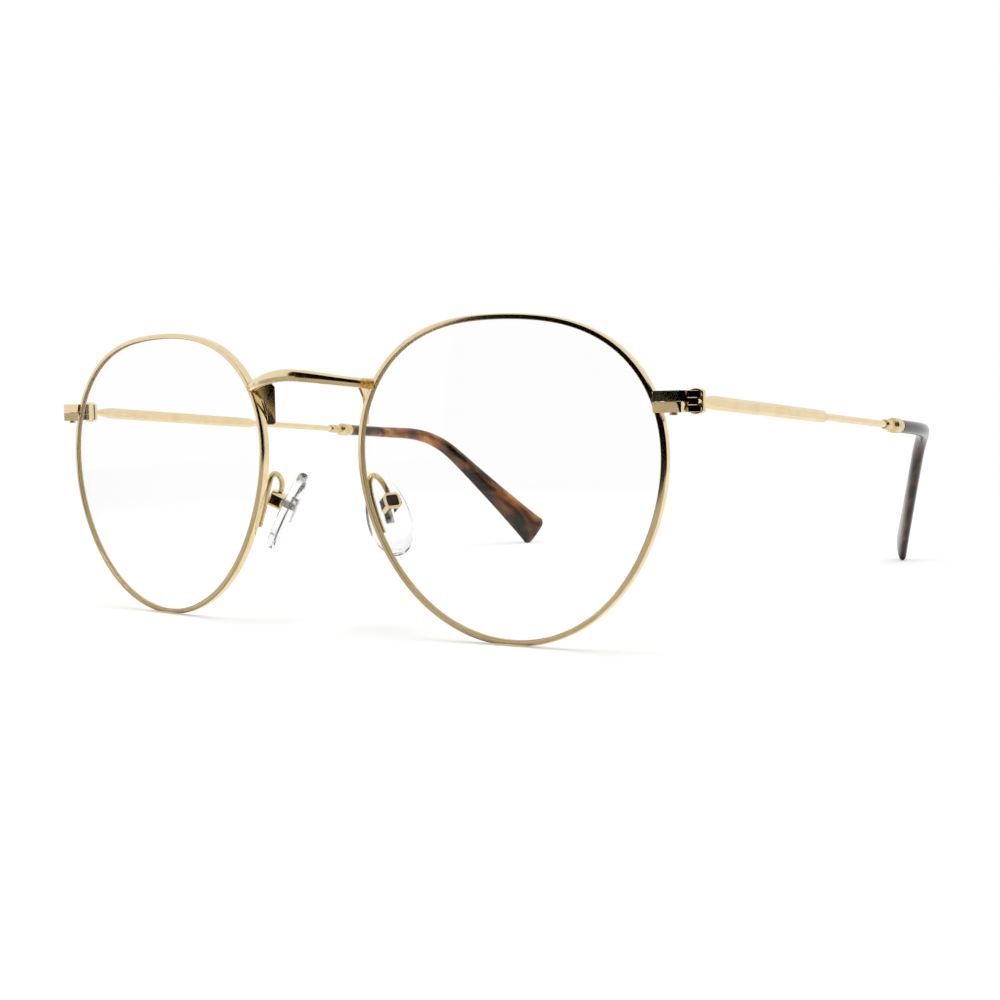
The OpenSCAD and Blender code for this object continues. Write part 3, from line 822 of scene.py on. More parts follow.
@dataclass
class MeshWork:
    """Collects points and faces of one piece, on the left half, and makes its object on either side."""

    points: Line = field(default_factory=list)
    faces: list[tuple[int, ...]] = field(default_factory=list)

    def add(self, points: Line, faces: list[tuple[int, ...]]) -> None:
        """Adds points, and faces that number them from 0.

        Args:
            points: The points.
            faces: The faces.
        """
        base = len(self.points)
        self.points += points
        self.faces += [tuple(base + i for i in f) for f in faces]

    def fan(self, start: int, count: int, middle: Vector) -> None:
        """Closes a ring of points, whose first has the number start, with a fan round its middle.

        Args:
            start: Number of the first point.
            count: Points in the ring.
            middle: The middle.
        """
        k = len(self.points)
        self.points.append(middle)
        self.faces += [(start + j, start + (j + 1) % count, k) for j in range(count)]

    def skin(self, rings: list[Line], capped: bool = True) -> None:
        """Adds a skin over a row of rings.

        Args:
            rings: The rings, all with as many points.
            capped: Whether the first and the last ring are closed, each with a fan round its middle.
        """
        m, n, base = len(rings[0]), len(rings), len(self.points)
        faces = [
            (i * m + j, i * m + (j + 1) % m, (i + 1) * m + (j + 1) % m, (i + 1) * m + j)
            for i in range(n - 1)
            for j in range(m)
        ]
        self.add([p for r in rings for p in r], faces)
        if capped:
            for end in (0, n - 1):
                self.fan(base + end * m, m, sum(rings[end], Vector((0, 0, 0))) / m)

    def finish(self, ticket: Ticket) -> Piece:
        """Makes the piece, with its place in its mesh and its faces outwards.

        Args:
            ticket: The piece's ticket.

        Returns:
            The piece.
        """
        mesh, sign = bpy.data.meshes.new(ticket.name), ticket.side.value
        places = [(sign * p[0] * MM, (p[1] - PLAN.middle_y) * MM, p[2] * MM) for p in self.points]
        mesh.from_pydata(places, [], self.faces)
        mesh.materials.append(ticket.finish)
        return ticket.dress(mesh)


def recoat(piece: Piece, material: Finish, chosen: Callable[[bpy.types.MeshPolygon], bool]) -> None:
    """Gives some faces of a piece a second finish.

    Args:
        piece: The piece.
        material: The finish.
        chosen: Tells whether a face has it.
    """
    piece.data.materials.append(material)
    for face in piece.data.polygons:
        if chosen(face):
            face.material_index = 1


@dataclass(frozen=True)
class Recess:
    """A shallow pocket in one face of a machined solid, with painted shade in it, and the same painted shade flush in
    another.
    """

    facing: Vector
    flush: Vector
    material: Finish
    margin: float = 0.38
    wall: float = 0.04
    depth: float = 0.3
    flush_margin: float = 0.25
    flush_reach: float = 0.8
    flush_depth: float = 0.1
    aligned: float = 0.97

    def cut(self, work: bmesh.types.BMesh) -> None:
        """Sinks the largest face that looks the pocket's way, and gives it and the flush face the second finish, a
        painted shade.

        Args:
            work: The solid.
        """
        faces = [f for f in work.faces if f.normal.dot(self.facing) > self.aligned]
        largest = max(faces, key=lambda f: f.calc_area())
        bmesh.ops.inset_region(work, faces=[largest], thickness=self.margin * MM, use_even_offset=True)
        bmesh.ops.inset_region(work, faces=[largest], thickness=self.wall * MM, depth=-self.depth * MM)
        plain = [f for f in work.faces if f.normal.dot(self.flush) > self.aligned]
        level = max(f.calc_center_median().dot(self.flush) for f in plain) - self.flush_depth * MM
        plain = [f for f in plain if f.calc_center_median().dot(self.flush) > level]
        middle = sum((f.calc_center_median() * f.calc_area() for f in plain), Vector())
        middle /= sum(f.calc_area() for f in plain)
        bmesh.ops.inset_region(work, faces=plain, thickness=self.flush_margin * MM, use_even_offset=True)
        near = [f for f in work.faces if (f.calc_center_median() - middle).length < self.flush_reach * MM]
        # Painted shade: the pocket, the flush faces and the faces near them take the dark finish.
        for face in [largest] + plain + near:
            face.material_index = 1


def softened(ticket: Ticket, width: float, segments: int = 3, recess: Recess | None = None) -> Piece:
    """Makes a copy of a machined solid with its edges broken, as tumbling and polishing leave them.

    Args:
        ticket: The new piece's ticket, which names the solid.
        width: Width of the broken edge.
        segments: Steps across it.
        recess: A pocket to sink in one face, if any.

    Returns:
        The piece.
    """
    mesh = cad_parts[ticket.node].data.copy()
    work = bmesh.new()
    work.from_mesh(mesh)
    bmesh.ops.remove_doubles(work, verts=work.verts, dist=2 * WELD)
    bmesh.ops.dissolve_limit(work, angle_limit=radians(FLAT_ANGLE), verts=work.verts, edges=work.edges)
    for face in work.faces:
        face.material_index = 0
    mesh.materials.clear()
    mesh.materials.append(ticket.finish)
    if recess is not None:
        recess.cut(work)
        mesh.materials.append(recess.material)
    work.to_mesh(mesh)
    work.free()
    start = linked(ticket.name, mesh)
    bevel = start.modifiers.new("broken_edge", "BEVEL")
    bevel.width, bevel.segments = width * MM, segments
    bevel.limit_method, bevel.angle_limit = "ANGLE", radians(EDGE_ANGLE)
    bevel.use_clamp_overlap = True
    return ticket.bake(start)


class WireBench:
    """Draws wires with a Geometry Nodes tree: a section carried along a path, closed at both ends."""

    def __init__(self) -> None:
        """Builds the tree, with the path, the section, the section's direction and the finish as inputs."""
        self.tree = tree = bpy.data.node_groups.new("drawn_wire", "GeometryNodeTree")
        tree.is_modifier = True
        kinds = {"Geometry": "Geometry", "Path": "Object", "Section": "Object", "Back": "Vector", "Finish": "Material"}
        for label, kind in kinds.items():
            tree.interface.new_socket(name=label, in_out="INPUT", socket_type="NodeSocket" + kind)
        tree.interface.new_socket(name="Geometry", in_out="OUTPUT", socket_type="NodeSocketGeometry")
        given = add_node(tree, "NodeGroupInput").outputs
        path, section = (
            add_node(tree, "GeometryNodeObjectInfo", inputs={"Object": given[label]}).outputs["Geometry"]
            for label in ("Path", "Section")
        )
        turned = add_node(
            tree, "GeometryNodeSetCurveNormal", {"mode": "FREE"}, {"Curve": path, "Normal": given["Back"]}
        )
        parts = {"Curve": turned, "Profile Curve": section, "Fill Caps": True}
        swept = add_node(tree, "GeometryNodeCurveToMesh", inputs=parts)
        real = add_node(tree, "GeometryNodeRealizeInstances", inputs={0: swept})
        parts = {"Geometry": real, "Material": given["Finish"]}
        finished = add_node(tree, "GeometryNodeSetMaterial", inputs=parts)
        add_node(tree, "NodeGroupOutput", inputs={"Geometry": finished})

    def curve(self, name: str, points: Line, closed: bool) -> Piece:
        """Makes a helper curve of straight steps, in metres.

        Args:
            name: Its name.
            points: Its points in millimetres.
            closed: Whether its end joins its start.

        Returns:
            The curve's object.
        """
        curve = bpy.data.curves.new(name, "CURVE")
        curve.dimensions = "3D"
        line = curve.splines.new("POLY")
        line.points.add(len(points) - 1)
        for i, p in enumerate(points):
            line.points[i].co = (p[0] * MM, p[1] * MM, p[2] * MM, 1)
        line.use_cyclic_u = closed
        return linked(name, curve)

    def wire(self, ticket: Ticket, path: Line, section: Outline, back: Vector) -> Piece:
        """Draws a wire along a path.

        Args:
            ticket: The piece's ticket.
            path: The line that it follows, on the left half.
            section: Its outline: distance along back, and distance across.
            back: Direction that the section's first distance is measured along.

        Returns:
            The piece.
        """
        name, sign = ticket.name, ticket.side.value
        line = self.curve(name + "_path", [Vector((sign * p[0], p[1] - PLAN.middle_y, p[2])) for p in path], False)
        outline = self.curve(name + "_section", [Vector((p[0], sign * p[1], 0)) for p in section], True)
        values = {"Path": line, "Section": outline, "Back": (sign * back[0], back[1], back[2]), "Finish": ticket.finish}
        holder = linked(name + "_start", bpy.data.meshes.new(name))
        modifier = holder.modifiers.new(self.tree.name, "NODES")
        modifier.node_group = self.tree
        for item in self.tree.interface.items_tree:
            if item.in_out == "INPUT" and item.name in values:
                modifier[item.identifier] = values[item.name]
        piece = ticket.bake(holder)
        for helper in (line, outline):
            bpy.data.objects.remove(helper)
        return piece


@dataclass
class Rim:
    """One rim: a grooved wire drawn round the lens, open at the slit."""

    side: Side
    steps: int = 300
    edge_round: float = 0.07

    def section(self) -> Outline:
        """Outline of the wire: distance back, and distance in from its outside. It leans with the lens's curve.

        Returns:
            The outline.
        """
        p = PLAN
        mid, groove, cut, deep = p.rim_depth / 2, p.bevel_width / 2, p.rim_chamfer, p.rim_depth
        corners = [(p.inner, 0), (-cut, 0), (0, cut), (0, deep - cut), (-cut, deep), (p.inner, deep)]
        corners += [(p.inner, mid + groove), (p.inner + p.bevel_height, mid), (p.inner, mid - groove)]
        lean = (p.lens_width + p.lens_height) / 4 / p.base_curve
        return [(y + lean * out, -out) for out, y in filleted(corners, self.edge_round, 3)]

    def build(self, bench: WireBench, finishes: Finishes) -> None:
        """Draws the rim and sets it in place.

        Args:
            bench: What draws the wires.
            finishes: Every finish of the frame.
        """
        p, tag = PLAN, self.side.prefix
        path = [p.at(a, p.rim_radius(a), 0) for a in p.rim_angles(self.steps)]
        back = (p.turned(0, 1, 0) - p.turned(0, 0, 0)).normalized()
        ticket = Ticket(tag + "rim_wire", tag + "rim", self.side, "front", "gold", finishes.gold, sharp=28.0)
        bench.wire(ticket, path, self.section(), back)


@dataclass
class Lens:
    """One demonstration lens: two bowed faces and a bevelled edge that sits in the rim's groove."""

    side: Side
    steps: int = 180
    rows: int = 14
    soft: float = 0.04
    edge_share: float = 0.93
    edge_facing: float = 0.93

    def build(self, finishes: Finishes) -> None:
        """Makes the lens as rings from the middle of its back, over the bevel, to the middle of its front.

        Args:
            finishes: Every finish of the frame.
        """
        p, soft = PLAN, self.soft
        mid, thick = p.rim_depth / 2, p.lens_thickness / 2
        half = [((i + 1) / self.rows, 0.0, thick) for i in range(self.rows - 1)]
        half += [(1, -soft, thick), (1, 0, thick - soft), (1, 0, p.bevel_width / 2)]
        half += [(1, p.bevel_height - soft, soft / 2)]
        levels = [(share, out, mid + y) for share, out, y in half]
        levels += [(share, out, mid - y) for share, out, y in reversed(half)]
        angles = [i * 360 / self.steps for i in range(self.steps)]
        rings = [
            [p.at(a, (p.lens_radius(a) - p.bevel_height) * share + out, depth) for a in angles]
            for share, out, depth in levels
        ]
        work = MeshWork()
        work.skin(rings, capped=False)
        for row, depth in ((0, mid + thick), (len(rings) - 1, mid - thick)):
            work.fan(row * self.steps, self.steps, p.at(0, 0, depth))
        tag = self.side.prefix
        piece = work.finish(Ticket(tag + "demo_lens", tag + "lens", self.side, "front", "lens", finishes.lens, 25.0))
        recoat(piece, finishes.lens_edge, self.on_edge)
        piece.visible_shadow = False

    def on_edge(self, face: bpy.types.MeshPolygon) -> bool:
        """Whether a face belongs to the ground edge: it is far from the lens's middle and looks away from it.

        Args:
            face: The face.

        Returns:
            Whether it does.
        """
        middle = PLAN.turned(0, PLAN.rim_depth / 2, 0) + Vector((0, 0, PLAN.lens_z))
        centre = Vector((self.side.value * middle[0], middle[1] - PLAN.middle_y, middle[2])) * MM
        reach = self.edge_share * (PLAN.lens_height / 2 - PLAN.bevel_height) * MM
        return (face.center - centre).length > reach and abs(face.normal[1]) < self.edge_facing


@dataclass
class Bridge:
    """The bridge: a bar that bows forward between the rims, and a flat leg down to the back of each rim."""

    height: float = 1.85
    end_height: float = 1.45
    depth: float = 1.3
    square: float = 0.8
    rise: float = 14.7
    end_rise: float = 13.3
    bow: float = 4.5
    over_bow: float = 0.6
    top_pull: float = 0.31
    end_pull: Triple = (-0.19, -0.8, 0.45)
    leg_start: float = 0.8
    leg_end_rise: float = 7.2
    leg_thickness: float = 0.45
    leg_proud: float = 1.4
    leg_turn: float = 18.0
    leg_round: float = 0.28
    soft: float = 0.07
    steps: int = 44
    sides: int = 40

    @property
    def arch(self) -> Line:
        """Control points of half the bar, from its middle to the left rim.

        Returns:
            The four points.
        """
        a = PLAN.nose_angle(self.end_rise)
        end = PLAN.at(a, PLAN.rim_radius(a) + PLAN.inner / 2, PLAN.rim_depth / 2)
        top = Vector((0, self.depth / 2 - self.bow - self.over_bow, PLAN.lens_z + self.rise))
        across, forward, up = self.end_pull
        bend = end + Vector((across * PLAN.lens_gap, forward * self.bow, up))
        return [top, top + Vector((self.top_pull * end[0], 0, 0)), bend, end]

    def bar(self, work: MeshWork) -> None:
        """Adds the bar.

        Args:
            work: What collects the points and faces.
        """
        arch = self.arch
        half = [bezier(arch, i / self.steps) for i in range(1, self.steps + 1)]
        path = [Vector((-p[0], p[1], p[2])) for p in reversed(half)] + [arch[0]] + half
        rings = []
        for i, (point, way) in enumerate(zip(path, directions(path))):
            tall = mixed(self.height, self.end_height, smooth(abs(i - self.steps) / self.steps)) / 2
            rings.append(ring(point, way, Vector((0, 1, 0)), self.depth / 2, tall, self.sides, self.square))
        work.skin(rings)

    def leg(self, work: MeshWork) -> None:
        """Adds the left leg, a flat plate with its corners rounded.

        Args:
            work: What collects the points and faces.
        """
        joint = bezier(self.arch, self.leg_start)
        a = PLAN.nose_angle(self.leg_end_rise)
        low = PLAN.at(a, PLAN.rim_radius(a), PLAN.rim_depth + PLAN.braze_gap)
        z_0, y_0, y_1 = low[2], low[1] + 0.02, low[1] + self.leg_proud
        tall = joint[2] - z_0
        outline = [
            (joint[1] - 0.1, joint[2] + 0.35),
            (y_1 - 0.5, joint[2] + 0.3),
            (y_1, joint[2] - 0.2),
            (y_1, z_0 + 0.3),
            (y_1 - 0.3, z_0),
            (y_0, z_0),
            (y_0, z_0 + 0.23 * tall),
            (y_0 - 0.54 * self.leg_proud, z_0 + 0.65 * tall),
            (y_0 - 0.68 * self.leg_proud, z_0 + 0.85 * tall),
            (joint[1] - 0.1, joint[2] - 0.45),
        ]
        fine = filleted(outline, self.leg_round, 4)
        middle = Vector((sum(p[0] for p in fine) / len(fine), sum(p[1] for p in fine) / len(fine)))
        x_0, t, soft = low[0] - 0.6 * self.leg_thickness, self.leg_thickness, self.soft
        turn, pivot = math.tan(radians(self.leg_turn)), y_1 - 0.4
        edge = [(2 * soft, 0), (soft, 0), (0.3 * soft, 0.3 * soft), (0, soft)]
        rings = []
        for inset, x in edge + [(inset, t - x) for inset, x in reversed(edge)]:
            row = []
            for p in fine:
                y, z = inset_towards(middle, p, inset)
                row.append(Vector((x_0 + x + turn * (pivot - p[0]), y, z)))
            rings.append(row)
        work.skin(rings)

    def build(self, finishes: Finishes) -> None:
        """Makes the bar and both legs as one piece, and the braze beside it.

        Args:
            finishes: Every finish of the frame.
        """
        work, leg = MeshWork(), MeshWork()
        self.bar(work)
        self.leg(leg)
        work.add(leg.points, leg.faces)
        work.add([Vector((-p[0], p[1], p[2])) for p in leg.points], [f[::-1] for f in leg.faces])
        work.finish(Ticket("bridge_bar_and_legs", "bridge", Side.LEFT, "front", "gold", finishes.gold, sharp=40.0))
        for side in Side:
            self.braze(side, finishes)

    def braze(self, side: Side, finishes: Finishes) -> None:
        """Adds the collar of braze that shows where the bar meets a rim.

        Args:
            side: Which rim.
            finishes: Every finish of the frame.
        """
        shape = ((0.86, 0.0), (0.885, 0.012), (0.91, 0.02), (0.94, 0.04), (0.965, 0.08), (0.985, 0.15))
        path = [bezier(self.arch, t) for t, _ in shape]
        rings = [
            ring(point, way, Vector((0, 1, 0)), self.depth / 2 + grow, self.end_height / 2 + grow, 32, self.square)
            for point, way, (_, grow) in zip(path, directions(path), shape)
        ]
        work = MeshWork()
        work.skin(rings)
        work.finish(Ticket(side.prefix + "bridge_braze", "", side, "front", "gold", finishes.braze, sharp=60.0))


@dataclass
class EndPiece:
    """The closing joint at one temple: an upper and a lower half, drawn together by a screw, and the hinge behind."""

    side: Side
    broken_edge: float = 0.09
    hinge_edge: float = 0.05
    screw_edge: float = 0.03
    outward: float = 0.9

    def build(self, finishes: Finishes) -> None:
        """Takes over the machined solids with their edges broken.

        Args:
            finishes: Every finish of the frame.
        """
        tag = self.side.prefix
        solids = (
            ("end_piece", self.broken_edge, "front"),
            ("closing_block", self.broken_edge, "front"),
            ("front_hinge", self.hinge_edge, "front"),
            ("temple_hinge", self.hinge_edge, self.side.arm_body),
        )
        for node, width, body in solids:
            ticket = Ticket(tag + node + "_polished", tag + node, self.side, body, "gold", finishes.gold)
            piece = softened(ticket, width)
            if node == "end_piece":
                # Painted reflection: the hinge's black finish runs on over the outward end of the upper half, standing
                # in for the dark that this face mirrors.
                recoat(piece, finishes.dark, lambda face: face.normal[0] * self.side.value > self.outward)
        for screw in Screw:
            node = tag + screw.value
            # Painted shade: the pad screw takes the dark finish of the box's recess.
            finish = finishes.tarnish if screw is Screw.PAD else finishes.screw
            ticket = Ticket(node + "_turned", node, self.side, "front", "screw", finish, sharp=28.0)
            softened(ticket, self.screw_edge, 2)


@dataclass
class Temple:
    """One temple: reeded head, flange, neck, chamfered bar, round wire and ferrule."""

    side: Side
    head_length: float = 3.9
    head_width: float = 2.0
    end_height: float = 2.9
    end_thickness: float = 1.6
    end_crease: float = 0.3
    end_reach: float = 3.6
    end_over: float = 0.4
    end_sunk: float = 0.25
    hinge_leaf: float = 0.2
    flange: float = 1.0
    move_gap: float = 0.15
    reed_span: float = 74.0
    crown_reach: float = 0.91
    middle_crown_reach: float = 0.73
    neck_length: float = 0.9
    neck_radius: float = 0.52
    bar_length: float = 43.1
    bar_height: float = 1.9
    bar_thickness: float = 1.15
    bar_taper: float = 4.5
    bar_end_taper: float = 2.6
    bar_start: float = 0.2
    chamfer_across: float = 0.3
    chamfer_down: float = 0.42
    chamfer_most: float = 0.6
    corner_round: float = 0.1
    flat_lead: float = 0.3
    flat_run: float = 2.2
    wire_radius: float = 0.6
    length: float = 74.1
    splay: float = 1.9
    slope: float = 3.69201
    ferrule_length: float = 6.9
    ferrule_radius: float = 1.15
    soft: float = 0.09
    sides: int = 96

    @property
    def root(self) -> Vector:
        """The start of the temple's own frame, at the back of the flange.

        Returns:
            The point.
        """
        x = PLAN.rim_end[0] + self.end_reach + self.end_over - self.head_width / 2
        front = PLAN.rim_end[1] - self.end_crease - self.end_sunk
        head = front + self.end_thickness + self.hinge_leaf + self.move_gap
        return Vector((x, head + self.head_length + self.flange + PLAN.braze_gap, PLAN.hinge_z))

    def at(self, p: Vector) -> Vector:
        """Takes a point of the temple's own frame to the frame that stands on the table.

        Args:
            p: The point.

        Returns:
            The point there.
        """
        y, z = rotated(p[1], p[2], -self.slope)
        x, y = rotated(p[0], y, -self.splay)
        root = self.root
        return Vector((root[0] + x, root[1] + y, root[2] + z))

    def half_height(self, y: float) -> float:
        """Half the height of the bar before its section is cut to size.

        Args:
            y: Distance from the temple's root.

        Returns:
            Half the height.
        """
        over = self.bar_height / 2 + 0.05
        start = self.neck_length - self.bar_start
        if y < start:
            return self.neck_radius
        if y < start + self.bar_taper:
            t = (y - self.neck_length + self.bar_start) / self.bar_taper
            return self.neck_radius + (over - self.neck_radius) * sin(pi / 2 * t)
        t = (y - self.bar_length + self.bar_end_taper) / self.bar_end_taper
        return self.wire_radius + (over - self.wire_radius) * (1 - smooth(t))

    def section(self, y: float) -> Line:
        """The ring of the temple at a distance from its root: round, or an octagon with soft corners.

        Args:
            y: The distance.

        Returns:
            The ring.
        """
        tall, thick = min(self.half_height(y), self.bar_height / 2), self.bar_thickness / 2
        flat_in = smooth((y - self.neck_length + self.flat_lead) / self.flat_run)
        flat = min(flat_in, smooth((self.bar_length - y) / self.bar_end_taper))
        radius = self.neck_radius if y < self.bar_length / 2 else self.wire_radius
        across, down = self.chamfer_across, min(self.chamfer_down, self.chamfer_most * tall)
        quarter = [(thick, tall - down), (thick - across, tall)]
        upper = quarter + [(-x, z) for x, z in reversed(quarter)]
        corners = upper + [(-x, -z) for x, z in upper]
        made = []
        for x, z in filleted(corners, self.corner_round, 5):
            a = math.atan2(z, x)
            made.append(Vector((mixed(radius * cos(a), x, flat), y, mixed(radius * sin(a), z, flat))))
        return made

    def build(self, finishes: Finishes) -> None:
        """Makes the temple's bar and wire, its head and its ferrule.

        Args:
            finishes: Every finish of the frame.
        """
        tag, body = self.side.prefix, self.side.arm_body
        bends = [0.0, 0.4]
        bends += [self.neck_length - self.bar_start + self.bar_taper * i / 24 for i in range(25)]
        bends += [self.bar_length - self.bar_end_taper * (1 - i / 16) for i in range(17)]
        bends += [self.bar_length + 0.4, self.length - 8, self.length + 1]
        work = MeshWork()
        work.skin([[self.at(p) for p in self.section(y)] for y in bends])
        work.finish(Ticket(tag + "temple_bar", tag + "temple", self.side, body, "gold", finishes.gold, sharp=50.0))
        self.head(finishes)
        self.ferrule(finishes)

    def head(self, finishes: Finishes) -> None:
        """Makes the reeded head, with a painted dark reflection on its three reeds, and the flange behind it.

        Args:
            finishes: Every finish of the frame.
        """
        r, n, root = self.end_height / 6, self.head_length, self.root
        half, depth, soft = self.end_height / 2, self.head_width, self.soft
        front = root[1] - PLAN.braze_gap - self.flange - n
        x_in = root[0] - depth / 2
        x_reed = x_in + depth - r
        base = [(x_in, -half + 0.15), (x_in + 0.15, -half), (x_reed - 0.25, -half)]
        bows = [radians(mixed(-self.reed_span, self.reed_span, k / 12)) for k in range(13)]
        reeds = [(x_reed + r * cos(a), 2 * i * r + r * sin(a)) for i in (-1, 0, 1) for a in bows]
        cap = [(x_reed - 0.25, half), (x_in + 0.15, half), (x_in, half - 0.15)]
        middle = Vector((x_reed - 0.3, 0))
        stations = [(0.0, soft), (0.3 * soft, 0.3 * soft), (soft, 0.0)]
        stations += [(n * t, 0.0) for t in (0.3, 0.6, 0.74, 0.92)] + [(n + 0.02, 0.0)]
        rings = []
        for y, inset in stations:
            row = [inset_towards(middle, p, inset) for p in base + reeds + cap]
            rings.append([Vector((x, front + y, PLAN.hinge_z + z)) for x, z in row])
        work = MeshWork()
        work.skin(rings)
        work.skin(self.flange_rings(root[0], front + n))
        tag = self.side.prefix
        body, gold = self.side.arm_body, finishes.gold
        ticket = Ticket(tag + "reeded_head", tag + "temple_head", self.side, body, "gold", gold, sharp=35.0)
        piece = work.finish(ticket)
        # Painted reflection: the reed crowns take the black finish.
        recoat(piece, finishes.dark, lambda face: self.on_crown(face, front, x_reed + 0.4 * r))

    def flange_rings(self, x_mid: float, start: float) -> list[Line]:
        """The rings of the flange: a disc cut flat on both sides, with its edges broken.

        Args:
            x_mid: X of its middle.
            start: Y of its front.

        Returns:
            The rings.
        """
        radius, side, long = self.end_height / 2 + 0.3, self.head_width / 2 + 0.1, self.flange
        rows = []
        for y, inset in ((0.0, 0.07), (0.07, 0.0), (long - 0.1, 0.0), (long - 0.03, 0.03), (long, 0.1)):
            row = []
            for a in turns(72):
                x = min(max(radius * cos(a), -side), side) * (1 - inset / radius)
                row.append(Vector((x_mid + x, start + y, PLAN.hinge_z + (radius - inset) * sin(a))))
            rows.append(row)
        return rows

    def on_crown(self, face: bpy.types.MeshPolygon, front: float, outer: float) -> bool:
        """Whether a face lies on the crown of a reed, which gets a painted dark reflection; on the middle one the
        painted dark stops short of the flange.

        Args:
            face: The face.
            front: Y of the head's front.
            outer: X past which a crown lies.

        Returns:
            Whether it does.
        """
        x, y, z = face.center / MM
        short = abs(z - PLAN.hinge_z) < self.end_height / 6
        reach = (self.middle_crown_reach if short else self.crown_reach) * self.head_length
        return abs(x) > outer and y + PLAN.middle_y - front < reach and abs(face.normal[1]) < 0.9

    def ferrule(self, finishes: Finishes) -> None:
        """Turns the two-step ferrule in front of the tip.

        Args:
            finishes: Every finish of the frame.
        """
        n, tip = self.ferrule_length, self.ferrule_radius
        bore, small, large = self.wire_radius + 0.02, tip - 0.28, tip + 0.16
        outline = [(bore, 0), (small - 0.2, 0), (small, 0.25), (small, 0.4 * n), (small - 0.12, 0.48 * n)]
        outline += [(large - 0.25, 0.5 * n), (large, 0.56 * n), (large, 0.9 * n), (large - 0.12, n), (bore, n)]
        start = self.length - n - PLAN.braze_gap
        rows = [
            [self.at(Vector((r * cos(a), start + y, r * sin(a)))) for a in turns(self.sides)]
            for r, y in filleted(outline, 0.2, 8)
        ]
        work = MeshWork()
        work.skin(rows + [rows[0]], capped=False)
        node, body = self.side.prefix + "ferrule", self.side.arm_body
        work.finish(Ticket(node + "_turned", node, self.side, body, "gold", finishes.satin, sharp=45.0))


@dataclass
class Tip:
    """One temple tip: round at the ferrule, turned down behind the ear and flattened to a paddle."""

    temple: Temple
    length: float = 64.1
    radius: float = 1.15
    paddle_width: float = 7.7
    paddle_thickness: float = 2.0
    paddle_power: float = 2.6
    paddle_square: float = 0.8
    paddle_round: float = 1.6
    paddle_edge: float = 0.7
    bend_start: float = 16.5
    bend_length: float = 19.7
    ear_bend: float = 38.6
    inset: float = 26.5
    soft: float = 0.12
    steps: int = 88
    end_steps: int = 12
    sides: int = 40

    def heading(self, s: float) -> Vector:
        """Direction of the tip at a distance along it, in the temple's own frame."""
        yaw = self.inset * smooth(s / (self.bend_start + 0.75 * self.bend_length))
        return aimed(yaw, self.ear_bend * smooth((s - self.bend_start) / self.bend_length))

    def build(self, finishes: Finishes) -> None:
        """Makes the tip as rings along its bent line, with a rounded end and a broken edge at the ferrule.

        Args:
            finishes: Every finish of the frame.
        """
        t, side, soft = self.temple, self.temple.side, self.soft
        step = (self.length - self.paddle_round) / self.steps
        place = Vector((0, t.length, 0))
        line = []
        for i in range(self.steps):
            place = place + step * self.heading((i + 0.5) * step)
            line.append((place.copy(), (i + 1) * step, 0.0))
        way = self.heading(self.length)
        for i in range(1, self.end_steps + 1):
            a = pi / 2 * i / self.end_steps
            line.append((place + sin(a) * self.paddle_round * way, self.length, 1 - cos(a)))
        up = Vector((0, 0, 1))
        rings = []
        for shrink, back in ((soft, 0.0), (0.35 * soft, 0.35 * soft), (0.0, soft)):
            at, radius = Vector((0, t.length + back, 0)), self.radius - shrink
            rings.append(ring(at, self.heading(0), up, radius, radius, self.sides))
        for point, s, cut in line:
            share = s / self.length
            tall = self.radius + (self.paddle_width / 2 - self.radius) * share**self.paddle_power
            thick = self.radius + (self.paddle_thickness / 2 - self.radius) * share
            tall, thick = tall - cut * self.paddle_round, thick - cut * self.paddle_edge
            power = mixed(1.0, self.paddle_square, share)
            rings.append(ring(point, self.heading(s), up, tall, thick, self.sides, power))
        work = MeshWork()
        work.skin([[t.at(p) for p in row] for row in rings])
        tag, acetate = side.prefix, finishes.tortoise[side]
        ticket = Ticket(tag + "acetate_tip", tag + "tip", side, side.arm_body, "tortoise", acetate, sharp=60.0)
        work.finish(ticket)


